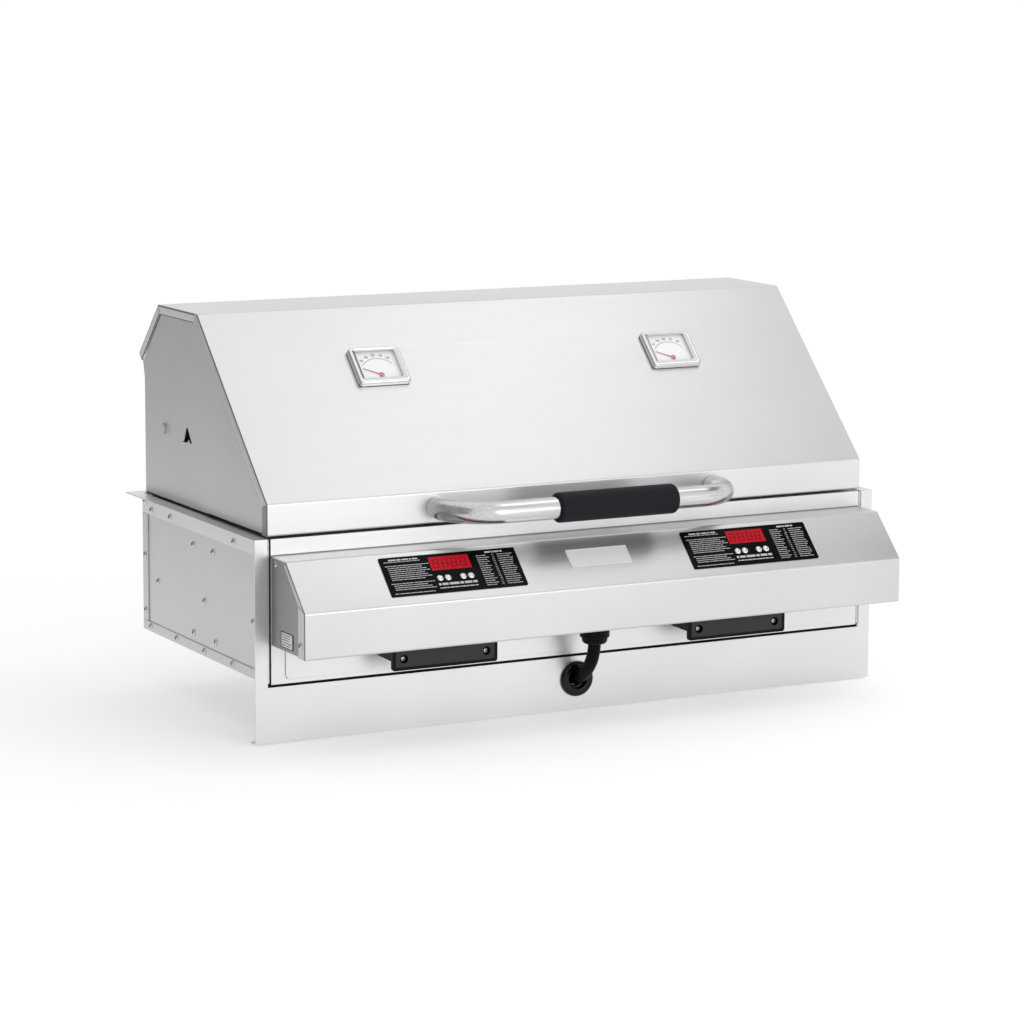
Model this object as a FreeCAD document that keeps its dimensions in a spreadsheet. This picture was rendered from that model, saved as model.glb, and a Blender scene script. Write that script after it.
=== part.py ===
import FreeCAD, Part
import math
import os
import Sketcher

# Built-in electric barbecue grill.
# X runs to the right seen from the front, Y to the back and Z up, in millimetres.
# Z = 0 is the top of the counter that the grill hangs in, Y = 0 the front of the
# face frame and X = 0 the middle of the width.

Vector = FreeCAD.Vector
document = FreeCAD.newDocument("built_in_grill")
sheet = document.addObject("Spreadsheet::Sheet", "Sizes")

# Driving sizes, each written once
SIZES = {
    "sheet_gauge": 1.5,
    "seam_gap": 0.3,
    # face frame and the flanges that lie on the counter
    "frame_width": 813,
    "stile_width": 15.5,
    "apron_top_drop": 165.3,
    "frame_drop": 228.7,
    "frame_hem": 12,
    "flange_leg": 21.5,
    "rear_overhang": 14.8,
    # body below the counter
    "body_side_inset": 16.5,
    "body_depth": 360.4,
    "body_drop": 162.5,
    "rear_lip_width": 15,
    "pan_lip_height": 11.5,
    "pan_front_drop": 7,
    "front_panel_rise": 1.2,
    "firebox_wall": 1.2,
    "firebox_side_gap": 18,
    "firebox_front_gap": 14,
    "firebox_depth": 117,
    "drip_slot_width": 220,
    "drip_slot_margin": 45,
    # lid
    "lid_front_inset": 2.5,
    "lid_gap": 5.1,
    "band_gap": 3.4,
    "band_height": 34.2,
    "ridge_height": 231,
    "front_ridge_inset": 194.5,
    "back_ridge_setback": 50.4,
    "rear_lip_reach": 9.6,
    "rear_lip_height": 167.5,
    "lid_side_inset": 1.5,
    "lid_lip_width": 11,
    "band_lip_width": 15,
    "hinge_setback": 62.4,
    "hinge_height": 86.5,
    "hinge_pin_radius": 4,
    "running_clearance": 0.05,
    "wing_top": 147,
    "wing_foot": 3.5,
    # handle and its grip
    "handle_radius": 12.7,
    "handle_bore": 11.2,
    "handle_reach": 62.5,
    "handle_half_span": 181.5,
    "handle_bend": 52,
    "handle_height": 22,
    "grip_radius": 17.3,
    "grip_length": 155,
    "grip_offset": 15,
    # gauges on the lid slope
    "gauge_spacing": 389,
    "gauge_shift": 2.2,
    "gauge_width": 65.6,
    "gauge_height": 53,
    "gauge_up_slope": 180,
    "gauge_thickness": 7,
    "dial_width": 50,
    "dial_height": 39,
    "dial_rise": 1.2,
    "pivot_drop": 12,
    "stem_radius": 4,
    "stem_length": 62,
    # control box
    "box_end_inset": 18.9,
    "ledge_drop": 17.5,
    "ledge_reach": 40.2,
    "nose_reach": 89.9,
    "nose_top_drop": 67,
    "nose_bottom_drop": 118.8,
    "box_lip": 19,
    # control panels on its slope
    "panel_spacing": 387,
    "panel_width": 170,
    "panel_height": 52.3,
    "panel_down_slope": 32.6,
    "panel_thickness": 0.8,
    "window_width": 52,
    "window_height": 20.4,
    "window_down_slope": 19.5,
    "button_down_slope": 39.6,
    "button_inner": 9.5,
    "button_outer": 19.3,
    "button_radius": 4,
    "button_travel": 0.8,
    "badge_width": 79,
    "badge_height": 24,
    "badge_offset": 6.5,
    "badge_down_slope": 29,
    # grease trays
    "tray_front_drop": 123.5,
    "tray_front_foot": 157.5,
    "tray_front_seam": 0.3,
    "tray_front_corner": 6,
    "tray_side_margin": 20,
    "tray_middle_gap": 38.6,
    "tray_front_lap": 1.1,
    "tray_pan_drop": 127,
    "tray_pan_foot": 155,
    "tray_back_gap": 25.4,
    "tray_rim": 9,
    "tray_travel": 300,
    "tray_handle_width": 132,
    "tray_handle_height": 27,
    "tray_handle_reach": 43,
    "tray_handle_plate": 6,
    "tray_handle_hang": 8.5,
    "tray_handle_spacing": 384,
    "tray_screw_spacing": 104,
    # cooking gear
    "grate_bar_radius": 3,
    "grate_bar_count": 22,
    "grate_drop": 16,
    "element_radius": 4.2,
    "element_drop": 70,
    "element_inner": 60,
    "element_side_gap": 59.3,
    "element_front_gap": 31,
    "element_back_gap": 36.4,
    "support_front_gap": 106,
    "support_back_gap": 96.4,
    "probe_radius": 2.4,
    # supply cord
    "cord_diameter": 15,
    "cord_inset": 42,
    "gland_radius": 18.5,
    "gland_height": 24,
    "grommet_radius": 20,
    "grommet_bore": 22,
    "grommet_drop": 192,
}

for row, (name, number) in enumerate(SIZES.items(), start=1):
    sheet.set(f"A{row}", name)
    sheet.set(f"B{row}", str(number))
    sheet.setAlias(f"B{row}", name)
document.recompute()


class Size:
    """A length with its number and the sheet formula that gives it."""

    def __init__(self, number, formula):
        self.number = number
        self.formula = formula

    def joined(self, other, sign, number):
        return Size(number, f"({self.formula} {sign} {as_size(other).formula})")

    def __add__(self, other):
        return self.joined(other, "+", self.number + as_size(other).number)

    def __sub__(self, other):
        return self.joined(other, "-", self.number - as_size(other).number)

    def __mul__(self, other):
        return self.joined(other, "*", self.number * as_size(other).number)

    def __truediv__(self, other):
        return self.joined(other, "/", self.number / as_size(other).number)

    def __neg__(self):
        return Size(-self.number, f"(0 - {self.formula})")

    def __radd__(self, other):
        return as_size(other) + self

    def __rsub__(self, other):
        return as_size(other) - self

    def __rmul__(self, other):
        return as_size(other) * self


def as_size(value):
    """Let plain numbers stand beside named sizes."""
    return value if isinstance(value, Size) else Size(float(value), f"{float(value):.6f}")


def size(alias):
    """A named size of the sheet."""
    return Size(float(sheet.get(alias)), f"Sizes.{alias}")


def bind(item, **links):
    """Tie properties of an object to the sheet; __ stands for a dot."""
    for prop, value in links.items():
        item.setExpression(prop.replace("__", "."), as_size(value).formula)


made = []


def named(item, label):
    """Give a finished sub-part its label and list it for writing."""
    item.Label = label
    made.append(item)
    return item


def move(item, x=0, y=0, z=0):
    bind(item, Placement__Base__x=x, Placement__Base__y=y, Placement__Base__z=z)
    return item


def block(x, y, z, name="block"):
    """A box between the pairs of limits x, y and z."""
    limits = [sorted((as_size(a), as_size(b)), key=lambda s: s.number) for a, b in (x, y, z)]
    item = document.addObject("Part::Box", name)
    lows = [low for low, high in limits]
    spans = [high - low for low, high in limits]
    move(item, *lows)
    bind(item, Length=spans[0], Width=spans[1], Height=spans[2])
    return item


TURNS = {
    "x": FreeCAD.Rotation(Vector(0, 1, 0), 90),
    "y": FreeCAD.Rotation(Vector(1, 0, 0), -90),
    "z": FreeCAD.Rotation(),
}


def rod(radius, start, length, along="z", name="rod"):
    """A cylinder from a start point along an axis."""
    item = document.addObject("Part::Cylinder", name)
    item.Placement = FreeCAD.Placement(Vector(), TURNS[along])
    move(item, *start)
    bind(item, Radius=radius, Height=length)
    return item


def fuse(*parts, name="fuse"):
    item = document.addObject("Part::MultiFuse", name)
    item.Shapes = list(parts)
    return item


def group(*parts, name="group"):
    """Separate solids kept in one node."""
    item = document.addObject("Part::Compound", name)
    item.Links = list(parts)
    return item


def cut(base, *tools, name="cut"):
    item = document.addObject("Part::Cut", name)
    item.Base = base
    item.Tool = tools[0] if len(tools) == 1 else fuse(*tools)
    return item


def mirrored(source, name="mirror"):
    """The left-hand twin of a right-hand piece."""
    item = document.addObject("Part::Mirroring", name)
    item.Source = source
    item.Base = Vector(0, 0, 0)
    item.Normal = Vector(1, 0, 0)
    return item


def origin_plane(body, role):
    return next(plane for plane in body.Origin.OriginFeatures if plane.Role == role)


def pin_point(sketch, edge, end, point):
    """Hold one end of a sketch edge at a point given by two sizes."""
    for kind, value in zip(("DistanceX", "DistanceY"), map(as_size, point)):
        index = sketch.addConstraint(Sketcher.Constraint(kind, -1, 1, edge, end, value.number))
        sketch.setExpression(f"Constraints[{index}]", value.formula)


def new_sketch(name, role):
    body = document.addObject("PartDesign::Body", name)
    sketch = body.newObject("Sketcher::SketchObject", f"{name}_outline")
    sketch.AttachmentSupport = (origin_plane(body, role), [""])
    sketch.MapMode = "FlatFace"
    return body, sketch


def draw_closed(sketch, points):
    """A closed outline of straight lines through points given as sizes."""
    numbers = [Vector(as_size(u).number, as_size(v).number, 0) for u, v in points]
    first = sketch.GeometryCount
    count = len(points)
    for index in range(count):
        line = Part.LineSegment(numbers[index], numbers[(index + 1) % count])
        sketch.addGeometry(line, False)
    for index in range(count):
        following = first + (index + 1) % count
        sketch.addConstraint(Sketcher.Constraint("Coincident", first + index, 2, following, 1))
        pin_point(sketch, first + index, 1, points[index])


def pad(body, sketch, length, symmetric=True, reversed_way=False):
    feature = body.newObject("PartDesign::Pad", f"{body.Name}_pad")
    feature.Profile = sketch
    feature.SideType = "Symmetric" if symmetric else "One side"
    feature.Reversed = reversed_way
    bind(feature, Length=length)
    body.Tip = feature
    return feature


def plate_yz(points, width, x=0, name="plate"):
    """A prism with an outline in Y and Z, as wide as width about the given x."""
    body, sketch = new_sketch(name, "YZ_Plane")
    draw_closed(sketch, points)
    pad(body, sketch, width)
    move(body, x)
    return body


def turned(points, name="turned"):
    """A solid of revolution about Z from an outline of (radius, height) pairs."""
    body, sketch = new_sketch(name, "XZ_Plane")
    draw_closed(sketch, points)
    feature = body.newObject("PartDesign::Revolution", f"{name}_turn")
    feature.Profile = sketch
    feature.ReferenceAxis = (sketch, ["V_Axis"])
    feature.Angle = 360
    body.Tip = feature
    return body


def bent_sheet(points, gauge, width, side=1, x=0, name="bent_sheet"):
    """A bent sheet whose one face follows the points; side says where its gauge lies."""
    body, sketch = new_sketch(name, "YZ_Plane")
    face = [Vector(as_size(u).number, as_size(v).number, 0) for u, v in points]
    last = len(face) - 1
    ways = [(face[i + 1] - face[i]).normalize() for i in range(last)]
    normals = [Vector(-way.y, way.x, 0) * side for way in ways]
    thick = gauge.number
    back = []
    for index in range(last + 1):
        before = normals[max(index - 1, 0)]
        after = normals[min(index, last - 1)]
        back.append(face[index] + (before + after) * (thick / (1 + before.dot(after))))
    for a, b in zip(face, face[1:]):
        sketch.addGeometry(Part.LineSegment(a, b), False)
    for a, b in zip(back, back[1:]):
        sketch.addGeometry(Part.LineSegment(a, b), False)
    sketch.addGeometry(Part.LineSegment(face[0], back[0]), False)
    sketch.addGeometry(Part.LineSegment(face[last], back[last]), False)
    start_cap, end_cap = 2 * last, 2 * last + 1
    for index in range(last - 1):
        for offset in (0, last):
            joint = Sketcher.Constraint("Coincident", offset + index, 2, offset + index + 1, 1)
            sketch.addConstraint(joint)
    sketch.addConstraint(Sketcher.Constraint("Coincident", start_cap, 1, 0, 1))
    sketch.addConstraint(Sketcher.Constraint("Coincident", start_cap, 2, last, 1))
    sketch.addConstraint(Sketcher.Constraint("Coincident", end_cap, 1, last - 1, 2))
    sketch.addConstraint(Sketcher.Constraint("Coincident", end_cap, 2, 2 * last - 1, 2))
    for index in range(last):
        pin_point(sketch, index, 1, points[index])
        sketch.addConstraint(Sketcher.Constraint("Parallel", index, last + index))
        gap = sketch.addConstraint(Sketcher.Constraint("Distance", last + index, 1, index, thick))
        sketch.setExpression(f"Constraints[{gap}]", gauge.formula)
    pin_point(sketch, last - 1, 2, points[last])
    sketch.addConstraint(Sketcher.Constraint("Perpendicular", start_cap, 0))
    sketch.addConstraint(Sketcher.Constraint("Perpendicular", end_cap, last - 1))
    pad(body, sketch, width)
    move(body, x)
    return body


def shaped(name, shape):
    """A piece whose shape neither primitives nor sketches give."""
    item = document.addObject("Part::Feature", name)
    item.Shape = shape
    return item


# Shared measures
gauge = size("sheet_gauge")
seam = size("seam_gap")
frame_half = size("frame_width") / 2
body_half = frame_half - size("body_side_inset")
body_inner = body_half - gauge
opening_half = frame_half - size("stile_width")
apron_top = -size("apron_top_drop")
frame_foot = -size("frame_drop")
leg_foot = -size("flange_leg")
body_back = size("body_depth")
body_foot = -size("body_drop")
pan_lip_top = body_foot + size("pan_lip_height")
grommet_height = -size("grommet_drop")
front_half = opening_half - 4
tray_top = -size("tray_front_drop")
tray_face = -gauge - size("tray_front_seam")
tray_inner = size("tray_middle_gap") / 2
tray_outer = body_half - size("tray_side_margin")


def face_frame():
    """Two stiles and the apron below the trays, with a hem and the cord's hole."""
    sheet_blank = block((-frame_half, frame_half), (0, gauge), (frame_foot, gauge))
    opening = block((-opening_half, opening_half), (-gauge, 2 * gauge), (apron_top, 2 * gauge))
    hem_back = size("frame_hem") + gauge
    hem = block((-frame_half, frame_half), (gauge, hem_back), (frame_foot, frame_foot + gauge))
    hole_radius = size("grommet_bore") / 2 + 3
    hole = rod(hole_radius, (0, -gauge, grommet_height), 3 * gauge, "y")
    return cut(fuse(sheet_blank, hem), opening, hole)


def counter_flanges():
    """Angles round the left, right and back, which carry the grill on the counter."""
    back_edge = body_back + size("rear_overhang")
    right = fuse(
        block((body_half, frame_half), (gauge, back_edge), (0, gauge)),
        block((body_half, body_half + gauge), (gauge, body_back), (leg_foot, 0)),
    )
    rear = fuse(
        block((-body_half, body_half), (body_back, back_edge), (0, gauge)),
        block((-body_half, body_half), (body_back, body_back + gauge), (leg_foot, 0)),
    )
    return group(right, mirrored(right), rear)


def side_panel():
    """The right side sheet with a flange turned out behind the stile."""
    sheet_part = block((body_inner, body_half), (gauge, body_back - gauge), (body_foot + gauge, 0))
    flange = block((body_half, body_half + 11), (gauge, 2 * gauge), (body_foot + gauge, leg_foot - seam))
    return fuse(sheet_part, flange)


def rear_panel():
    """The back sheet, with lips that lap round the sides."""
    lip_front = body_back - size("rear_lip_width")
    sheet_part = block((-body_half, body_half), (body_back - gauge, body_back), (body_foot + gauge, 0))
    heights = (pan_lip_top + seam, leg_foot - seam)
    lip = block((body_half, body_half + gauge), (lip_front, body_back), heights)
    return fuse(sheet_part, lip, mirrored(lip))


def bottom_pan():
    """The floor of the body, with side lips screwed on from outside and a lip down in front."""
    outer = body_half + gauge
    drop = size("pan_front_drop")
    floor = block((-outer, outer), (2 * gauge + seam, body_back), (body_foot, body_foot + gauge))
    lip_heights = (body_foot + gauge, pan_lip_top)
    lip = block((body_half, outer), (2 * gauge + seam, body_back), lip_heights)
    front_lip = block((-outer, outer), (2 * gauge + seam, 3 * gauge + seam), (body_foot - drop, body_foot))
    return fuse(floor, lip, mirrored(lip), front_lip)


liner_half = body_inner - size("firebox_side_gap")
liner_front = size("firebox_front_gap")
liner_back = body_back - size("firebox_front_gap")
liner_foot = -size("firebox_depth")
wall = size("firebox_wall")
element_runs = 6
element_inner = size("element_inner")
element_pitch = (liner_half - wall - size("element_side_gap") - element_inner) / (element_runs - 1)
probe_x = element_inner + element_pitch * (element_runs - 1) / 2
probe_z = -size("element_drop") + 28


def front_panel():
    """The sheet between the stiles, with an opening behind each tray front."""
    top = size("front_panel_rise")
    outer = block((-front_half, front_half), (0, gauge), (apron_top + 3, top))
    lap = size("tray_front_lap")
    heights = (-size("tray_front_foot") + lap, tray_top - lap)
    tray_slots = [
        block((side * (tray_inner + lap), side * (tray_outer - lap)), (-gauge, 2 * gauge), heights)
        for side in (-1, 1)
    ]
    fold = block((front_half - gauge, front_half), (gauge, 13), (body_foot + gauge, top))
    top_fold = block((-front_half + gauge, front_half - gauge), (gauge, 13), (top - gauge, top))
    leads = [
        rod(6.5, (x, -gauge, -size("element_drop")), 3 * gauge, "y")
        for side in (-1, 1)
        for x in element_ends(side)
    ]
    probes = [rod(4, (side * probe_x, -gauge, probe_z), 3 * gauge, "y") for side in (-1, 1)]
    return cut(fuse(outer, fold, mirrored(fold), top_fold), *tray_slots, *leads, *probes)


def element_ends(side):
    """Where a heating element's two ends come to the front."""
    return side * element_inner, side * (element_inner + element_pitch * (element_runs - 1))


def firebox_liner():
    """The inner box that holds the fire, with a rim and two drip openings."""
    outside = block((-liner_half, liner_half), (liner_front, liner_back), (liner_foot, 0))
    inside = block(
        (-liner_half + wall, liner_half - wall),
        (liner_front + wall, liner_back - wall),
        (liner_foot + wall, gauge),
    )
    rim = block((-body_inner + seam, body_inner - seam), (13.5, body_back - gauge - seam), (-wall, 0))
    middle = body_half / 2 - 4
    reach = size("drip_slot_width") / 2
    margin = size("drip_slot_margin")
    drips = [
        block(
            (side * (middle - reach), side * (middle + reach)),
            (liner_front + margin, liner_back - margin),
            (liner_foot - gauge, liner_foot + 2 * wall),
        )
        for side in (-1, 1)
    ]
    holes = [
        rod(7, (x, liner_front - gauge, -size("element_drop")), 3 * gauge, "y")
        for side in (-1, 1)
        for x in element_ends(side)
    ]
    probes = [
        rod(size("probe_radius") + 0.1, (side * probe_x, liner_front - gauge, probe_z), 3 * gauge, "y")
        for side in (-1, 1)
    ]
    return cut(fuse(outside, rim), inside, *drips, *holes, *probes)


def grate_ledges():
    """Angles on the front and back walls of the firebox, which carry the grates."""
    top = -size("grate_drop") - size("grate_bar_radius") * 2
    long = liner_half - wall - 12
    ledges = []
    for face, way in ((liner_front + wall, 1), (liner_back - wall, -1)):
        shelf = block((-long, long), (face, face + way * 14), (top - gauge, top))
        leg = block((-long, long), (face, face + way * gauge), (top - 14, top - gauge))
        ledges.append(fuse(shelf, leg))
    return ledges


def cooking_grate():
    """The right-hand rod grate: two end rails under a row of bars."""
    radius = size("grate_bar_radius")
    count = int(size("grate_bar_count").number)
    low_x, high_x = 4, liner_half - wall - 5
    front, back = liner_front + wall + 3, liner_back - wall - 3
    height = -size("grate_drop") - radius
    pitch = (high_x - low_x - 2 * radius) / (count - 1)
    places = [low_x + radius + pitch * index for index in range(count)]
    bars = [rod(radius, (x, front, height), back - front, "y") for x in places]
    rails = [
        block((low_x, high_x), (y - 2, y + 2), (height - radius, height))
        for y in (front + 12, (front + back) / 2, back - 12)
    ]
    return fuse(*bars, *rails)


def heating_element(side):
    """A tube that goes back and forth six times, with both ends at the front."""
    pitch = element_pitch.number
    start = element_inner.number
    near = (liner_front + size("element_front_gap")).number + pitch / 2
    far = (liner_back - size("element_back_gap")).number - pitch / 2
    height = -size("element_drop").number
    tail = -14

    def spot(x, y):
        return Vector(side * x, y, height)

    edges = []
    for run in range(element_runs):
        x = start + run * pitch
        low = tail if run in (0, element_runs - 1) else near
        ends = (spot(x, low), spot(x, far)) if run % 2 == 0 else (spot(x, far), spot(x, low))
        edges.append(Part.LineSegment(*ends).toShape())
        if run < element_runs - 1:
            turn_y = far if run % 2 == 0 else near
            crown = turn_y + (pitch / 2 if run % 2 == 0 else -pitch / 2)
            bend = Part.Arc(spot(x, turn_y), spot(x + pitch / 2, crown), spot(x + pitch, turn_y))
            edges.append(bend.toShape())
    path = Part.Wire(edges)
    ring = Part.Circle(spot(start, tail), Vector(0, 1, 0), size("element_radius").number)
    return shaped("element", path.makePipeShell([Part.Wire(ring.toShape())], True, False))


def element_bushings():
    """Ceramic collars where the elements come through the firebox wall."""
    collars = []
    for side in (-1, 1):
        for x in element_ends(side):
            height = -size("element_drop")
            barrel = rod(6.8, (x, liner_front - 5, height), 5 + wall, "y")
            collar = rod(10, (x, liner_front - 5, height), 5, "y")
            bore = rod(size("element_radius") + 0.1, (x, liner_front - 9, height), 16, "y")
            collars.append(cut(fuse(barrel, collar), bore))
    return group(*collars)


def element_supports():
    """Strips across the firebox floor that hold the elements up."""
    top = -size("element_drop") - size("element_radius") - 0.1
    floor = liner_foot + wall
    strips = []
    for side in (-1, 1):
        for y in (liner_front + size("support_front_gap"), liner_back - size("support_back_gap")):
            inner, outer = 18, liner_half - wall - 12
            beam = block((side * inner, side * outer), (y, y + 2), (top - 8, top))
            feet = [
                block((side * x, side * (x + 10)), (y, y + 2), (floor, top - 8))
                for x in (inner, outer - 10)
            ]
            strips.append(fuse(beam, *feet))
    return strips


tray_rim_height = -size("tray_pan_drop")
tray_foot = -size("tray_pan_foot")
rim = size("tray_rim")


def tray_rails():
    """Angles under the tray rims at the sides, and a tee between the trays."""
    rail_top = tray_rim_height - gauge - 0.1
    run = (13, liner_back)
    outer_edge = tray_outer + 3
    side_rail = fuse(
        block((outer_edge - rim, body_inner), run, (rail_top - gauge, rail_top)),
        block((body_inner - gauge, body_inner), run, (rail_top - 12, rail_top - gauge)),
    )
    half_tee = tray_inner + rim - 2
    tee = fuse(
        block((-half_tee, half_tee), run, (rail_top - gauge, rail_top)),
        block((-gauge / 2, gauge / 2), run, (rail_top, liner_foot)),
    )
    return group(side_rail, mirrored(side_rail), tee)


def grease_tray():
    """The right-hand pan: front plate, walls, floor and side rims, one folded sheet."""
    back, plate_back = body_back - size("tray_back_gap"), tray_face + gauge
    pan_low, pan_high = tray_inner + rim, tray_outer - rim
    plate = block((tray_inner, tray_outer), (tray_face, plate_back), (-size("tray_front_foot"), tray_top))
    document.recompute()
    front_plate = document.addObject("Part::Fillet", "front_plate")
    front_plate.Base = plate
    corner = size("tray_front_corner").number
    low_corners = [
        index
        for index, edge in enumerate(plate.Shape.Edges, start=1)
        if abs(edge.tangentAt(edge.FirstParameter).y) > 0.9 and edge.CenterOfMass.z < tray_top.number - 1
    ]
    front_plate.Edges = [(index, corner, corner) for index in low_corners]
    pan = block((pan_low, pan_high), (tray_face, back), (tray_foot, tray_rim_height))
    hollow_depth = (plate_back, back - gauge)
    hollow = block((pan_low + gauge, pan_high - gauge), hollow_depth, (tray_foot + gauge, 0))
    inset = size("tray_front_lap") + 0.4
    rim_heights = (tray_rim_height - gauge, tray_rim_height)
    rims = block((tray_inner + inset, tray_outer - inset), (4, back), rim_heights)
    return cut(fuse(front_plate, pan, rims), hollow)


handle_top = tray_top - 1
handle_foot = handle_top - size("tray_handle_height")
handle_middle = size("tray_handle_spacing") / 2
handle_screw_height = handle_top - 14
tray_screw_head = 3.4
tray_screw_depth = 2.6


def tray_handle():
    """The right tray's moulded pull: a plate that hangs below its body, hollow for the fingers."""
    half = size("tray_handle_width") / 2
    face = -size("tray_handle_reach")
    sides = (handle_middle - half, handle_middle + half)
    solid = block(sides, (face, tray_face), (handle_foot, handle_top))
    grip_space = block(
        (handle_middle - half + 18, handle_middle + half - 18),
        (face + 9, tray_face - 4),
        (handle_foot - 1, handle_top - 6),
    )
    plate_back = face + size("tray_handle_plate")
    under = block(sides, (plate_back, tray_face), (handle_foot - 1, handle_foot + size("tray_handle_hang")))
    tools = [under]
    for way in (-1, 1):
        front = (handle_middle + way * size("tray_screw_spacing") / 2, face - 1, handle_screw_height)
        tools += [rod(2.6, front, 60, "y"), rod(tray_screw_head + 1.6, front, tray_screw_depth + 3.2, "y")]
    return cut(solid, grip_space, *tools)


def tray_handle_screws():
    """Two screws right through the pull into the tray front."""
    face = -size("tray_handle_reach")
    screws = []
    for way in (-1, 1):
        x = handle_middle + way * size("tray_screw_spacing") / 2
        head = rod(tray_screw_head, (x, face + tray_screw_depth, handle_screw_height), 2.2, "y")
        start = face + tray_screw_depth + 2
        shank = rod(2.4, (x, start, handle_screw_height), tray_face - start, "y")
        screws.append(fuse(head, shank))
    return group(*screws)


ledge = -size("ledge_drop")
ledge_reach = size("ledge_reach")
nose = size("nose_reach")
nose_top = -size("nose_top_drop")
box_foot = -size("nose_bottom_drop")
box_half = frame_half - size("box_end_inset")
slope_drop = ledge.number - nose_top.number
slope_run = nose.number - ledge_reach.number
slope_angle = math.degrees(math.atan2(slope_drop, slope_run))
slope_down = Vector(0, -slope_run, -slope_drop).normalize()
slope_out = Vector(0, -slope_drop, slope_run).normalize()


def on_slope(item, x, down, out=0):
    """Lay a piece, made flat about the origin, on the control box's slope."""
    spot = Vector(0, -ledge_reach.number, ledge.number)
    spot += slope_down * as_size(down).number + slope_out * as_size(out).number
    turn = FreeCAD.Rotation(Vector(1, 0, 0), slope_angle)
    item.Placement = FreeCAD.Placement(Vector(as_size(x).number, spot.y, spot.z), turn)
    return item


def flat_plate(width, height, thickness, radius=1, low=0):
    """A plate about the origin with rounded corners."""
    item = block((-width / 2, width / 2), (-height / 2, height / 2), (low, low + thickness))
    document.recompute()
    rounded = document.addObject("Part::Fillet", "rounded")
    rounded.Base = item
    upright = [
        index
        for index, edge in enumerate(item.Shape.Edges, start=1)
        if abs(edge.tangentAt(edge.FirstParameter).z) > 0.9
    ]
    rounded.Edges = [(index, as_size(radius).number, as_size(radius).number) for index in upright]
    return rounded


panel_middle = size("panel_spacing") / 2
button_places = (-size("button_outer"), -size("button_inner"), size("button_inner"), size("button_outer"))


def control_box_shell():
    """The bent front of the box, with lips at its ends and openings for the controls."""
    profile = [
        (0, ledge),
        (-ledge_reach, ledge),
        (-nose, nose_top),
        (-nose, box_foot),
        (-nose + 9, box_foot),
    ]
    skin = bent_sheet(profile, gauge, 2 * box_half, side=1, name="box_skin")
    lip = size("box_lip")
    outside = [
        (-0.1, ledge - gauge / 2),
        (-ledge_reach, ledge - gauge / 2),
        (-nose + gauge / 2, nose_top),
        (-nose + gauge / 2, box_foot + gauge / 2),
    ]
    inside = [
        (-nose + lip, box_foot + gauge / 2),
        (-nose + lip, nose_top + 6),
        (-ledge_reach + 6.4, ledge - 6.4),
        (-ledge_reach + 9, ledge - 4),
        (-0.1, ledge - 4),
    ]
    end_lip = plate_yz(outside + inside, gauge, box_half - gauge / 2, "end_lip")
    tools = []
    for side in (-1, 1):
        x = side * panel_middle
        window = flat_plate(size("window_width"), size("window_height"), 6, low=-3)
        tools.append(on_slope(window, x, size("window_down_slope")))
        for place in button_places:
            tools.append(button_hole(x + place))
    return cut(fuse(skin, end_lip, mirrored(end_lip)), *tools)


def button_hole(x):
    hole = document.addObject("Part::Cylinder", "button_hole")
    bind(hole, Radius=size("button_radius") + 0.3, Height=8)
    return on_slope(hole, x, size("button_down_slope"), -4)


gland_thread = size("cord_diameter") / 2 + 3.5


def control_box_bottom():
    """The cover under the control box, with the gland's hole and a flange at the back."""
    half = box_half - 2 * gauge - seam
    plate = block((-half, half), (-nose + 9, 0), (box_foot, box_foot + gauge))
    flange = block((-half, half), (-gauge, 0), (box_foot + gauge, box_foot + 14))
    hole = rod(gland_thread, (0, -size("cord_inset"), box_foot - 1), 4, "z")
    return cut(fuse(plate, flange), hole)


def control_box_end():
    """The right end cap, set back inside the bent front."""
    fit = 0.05
    ledge_corner = gauge * math.tan(math.radians(slope_angle / 2)) + fit
    nose_corner = gauge * math.tan(math.radians(45 - slope_angle / 2)) + fit
    outline = [
        (0, ledge - gauge),
        (-ledge_reach + ledge_corner, ledge - gauge),
        (-nose + gauge, nose_top - nose_corner),
        (-nose + gauge, box_foot + gauge),
        (0, box_foot + gauge),
    ]
    return plate_yz(outline, gauge, box_half - 1.5 * gauge, "end_cap")


def control_panel(side):
    """The black panel on the slope, with a window and holes for its buttons."""
    plate = flat_plate(size("panel_width"), size("panel_height"), size("panel_thickness"), 2)
    window_shift = size("panel_down_slope") - size("window_down_slope")
    half_width, half_height = size("window_width") / 2 - 1, size("window_height") / 2 - 1
    window_span = (window_shift - half_height, window_shift + half_height)
    window = block((-half_width, half_width), window_span, (-1, 3))
    row = size("panel_down_slope") - size("button_down_slope")
    holes = [rod(size("button_radius") + 0.3, (place, row, -1), 4) for place in button_places]
    return on_slope(cut(plate, window, *holes), side * panel_middle, size("panel_down_slope"))


def push_button(side, place):
    """A button with a domed cap, a stem and a flange behind the sheet."""
    radius = size("button_radius")
    stem = rod(radius, (0, 0, -6), 6 + size("panel_thickness") + 0.7)
    dome = document.addObject("Part::Sphere", "dome")
    bind(dome, Radius=radius * 2.6)
    move(dome, 0, 0, -radius * 2.6 + 3.0)
    crown = document.addObject("Part::Common", "crown")
    crown.Base = rod(radius, (0, 0, 1), 3)
    crown.Tool = dome
    flange = rod(radius + 0.7, (0, 0, -6), 2)
    return on_slope(fuse(stem, crown, flange), side * panel_middle + place, size("button_down_slope"))


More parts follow.
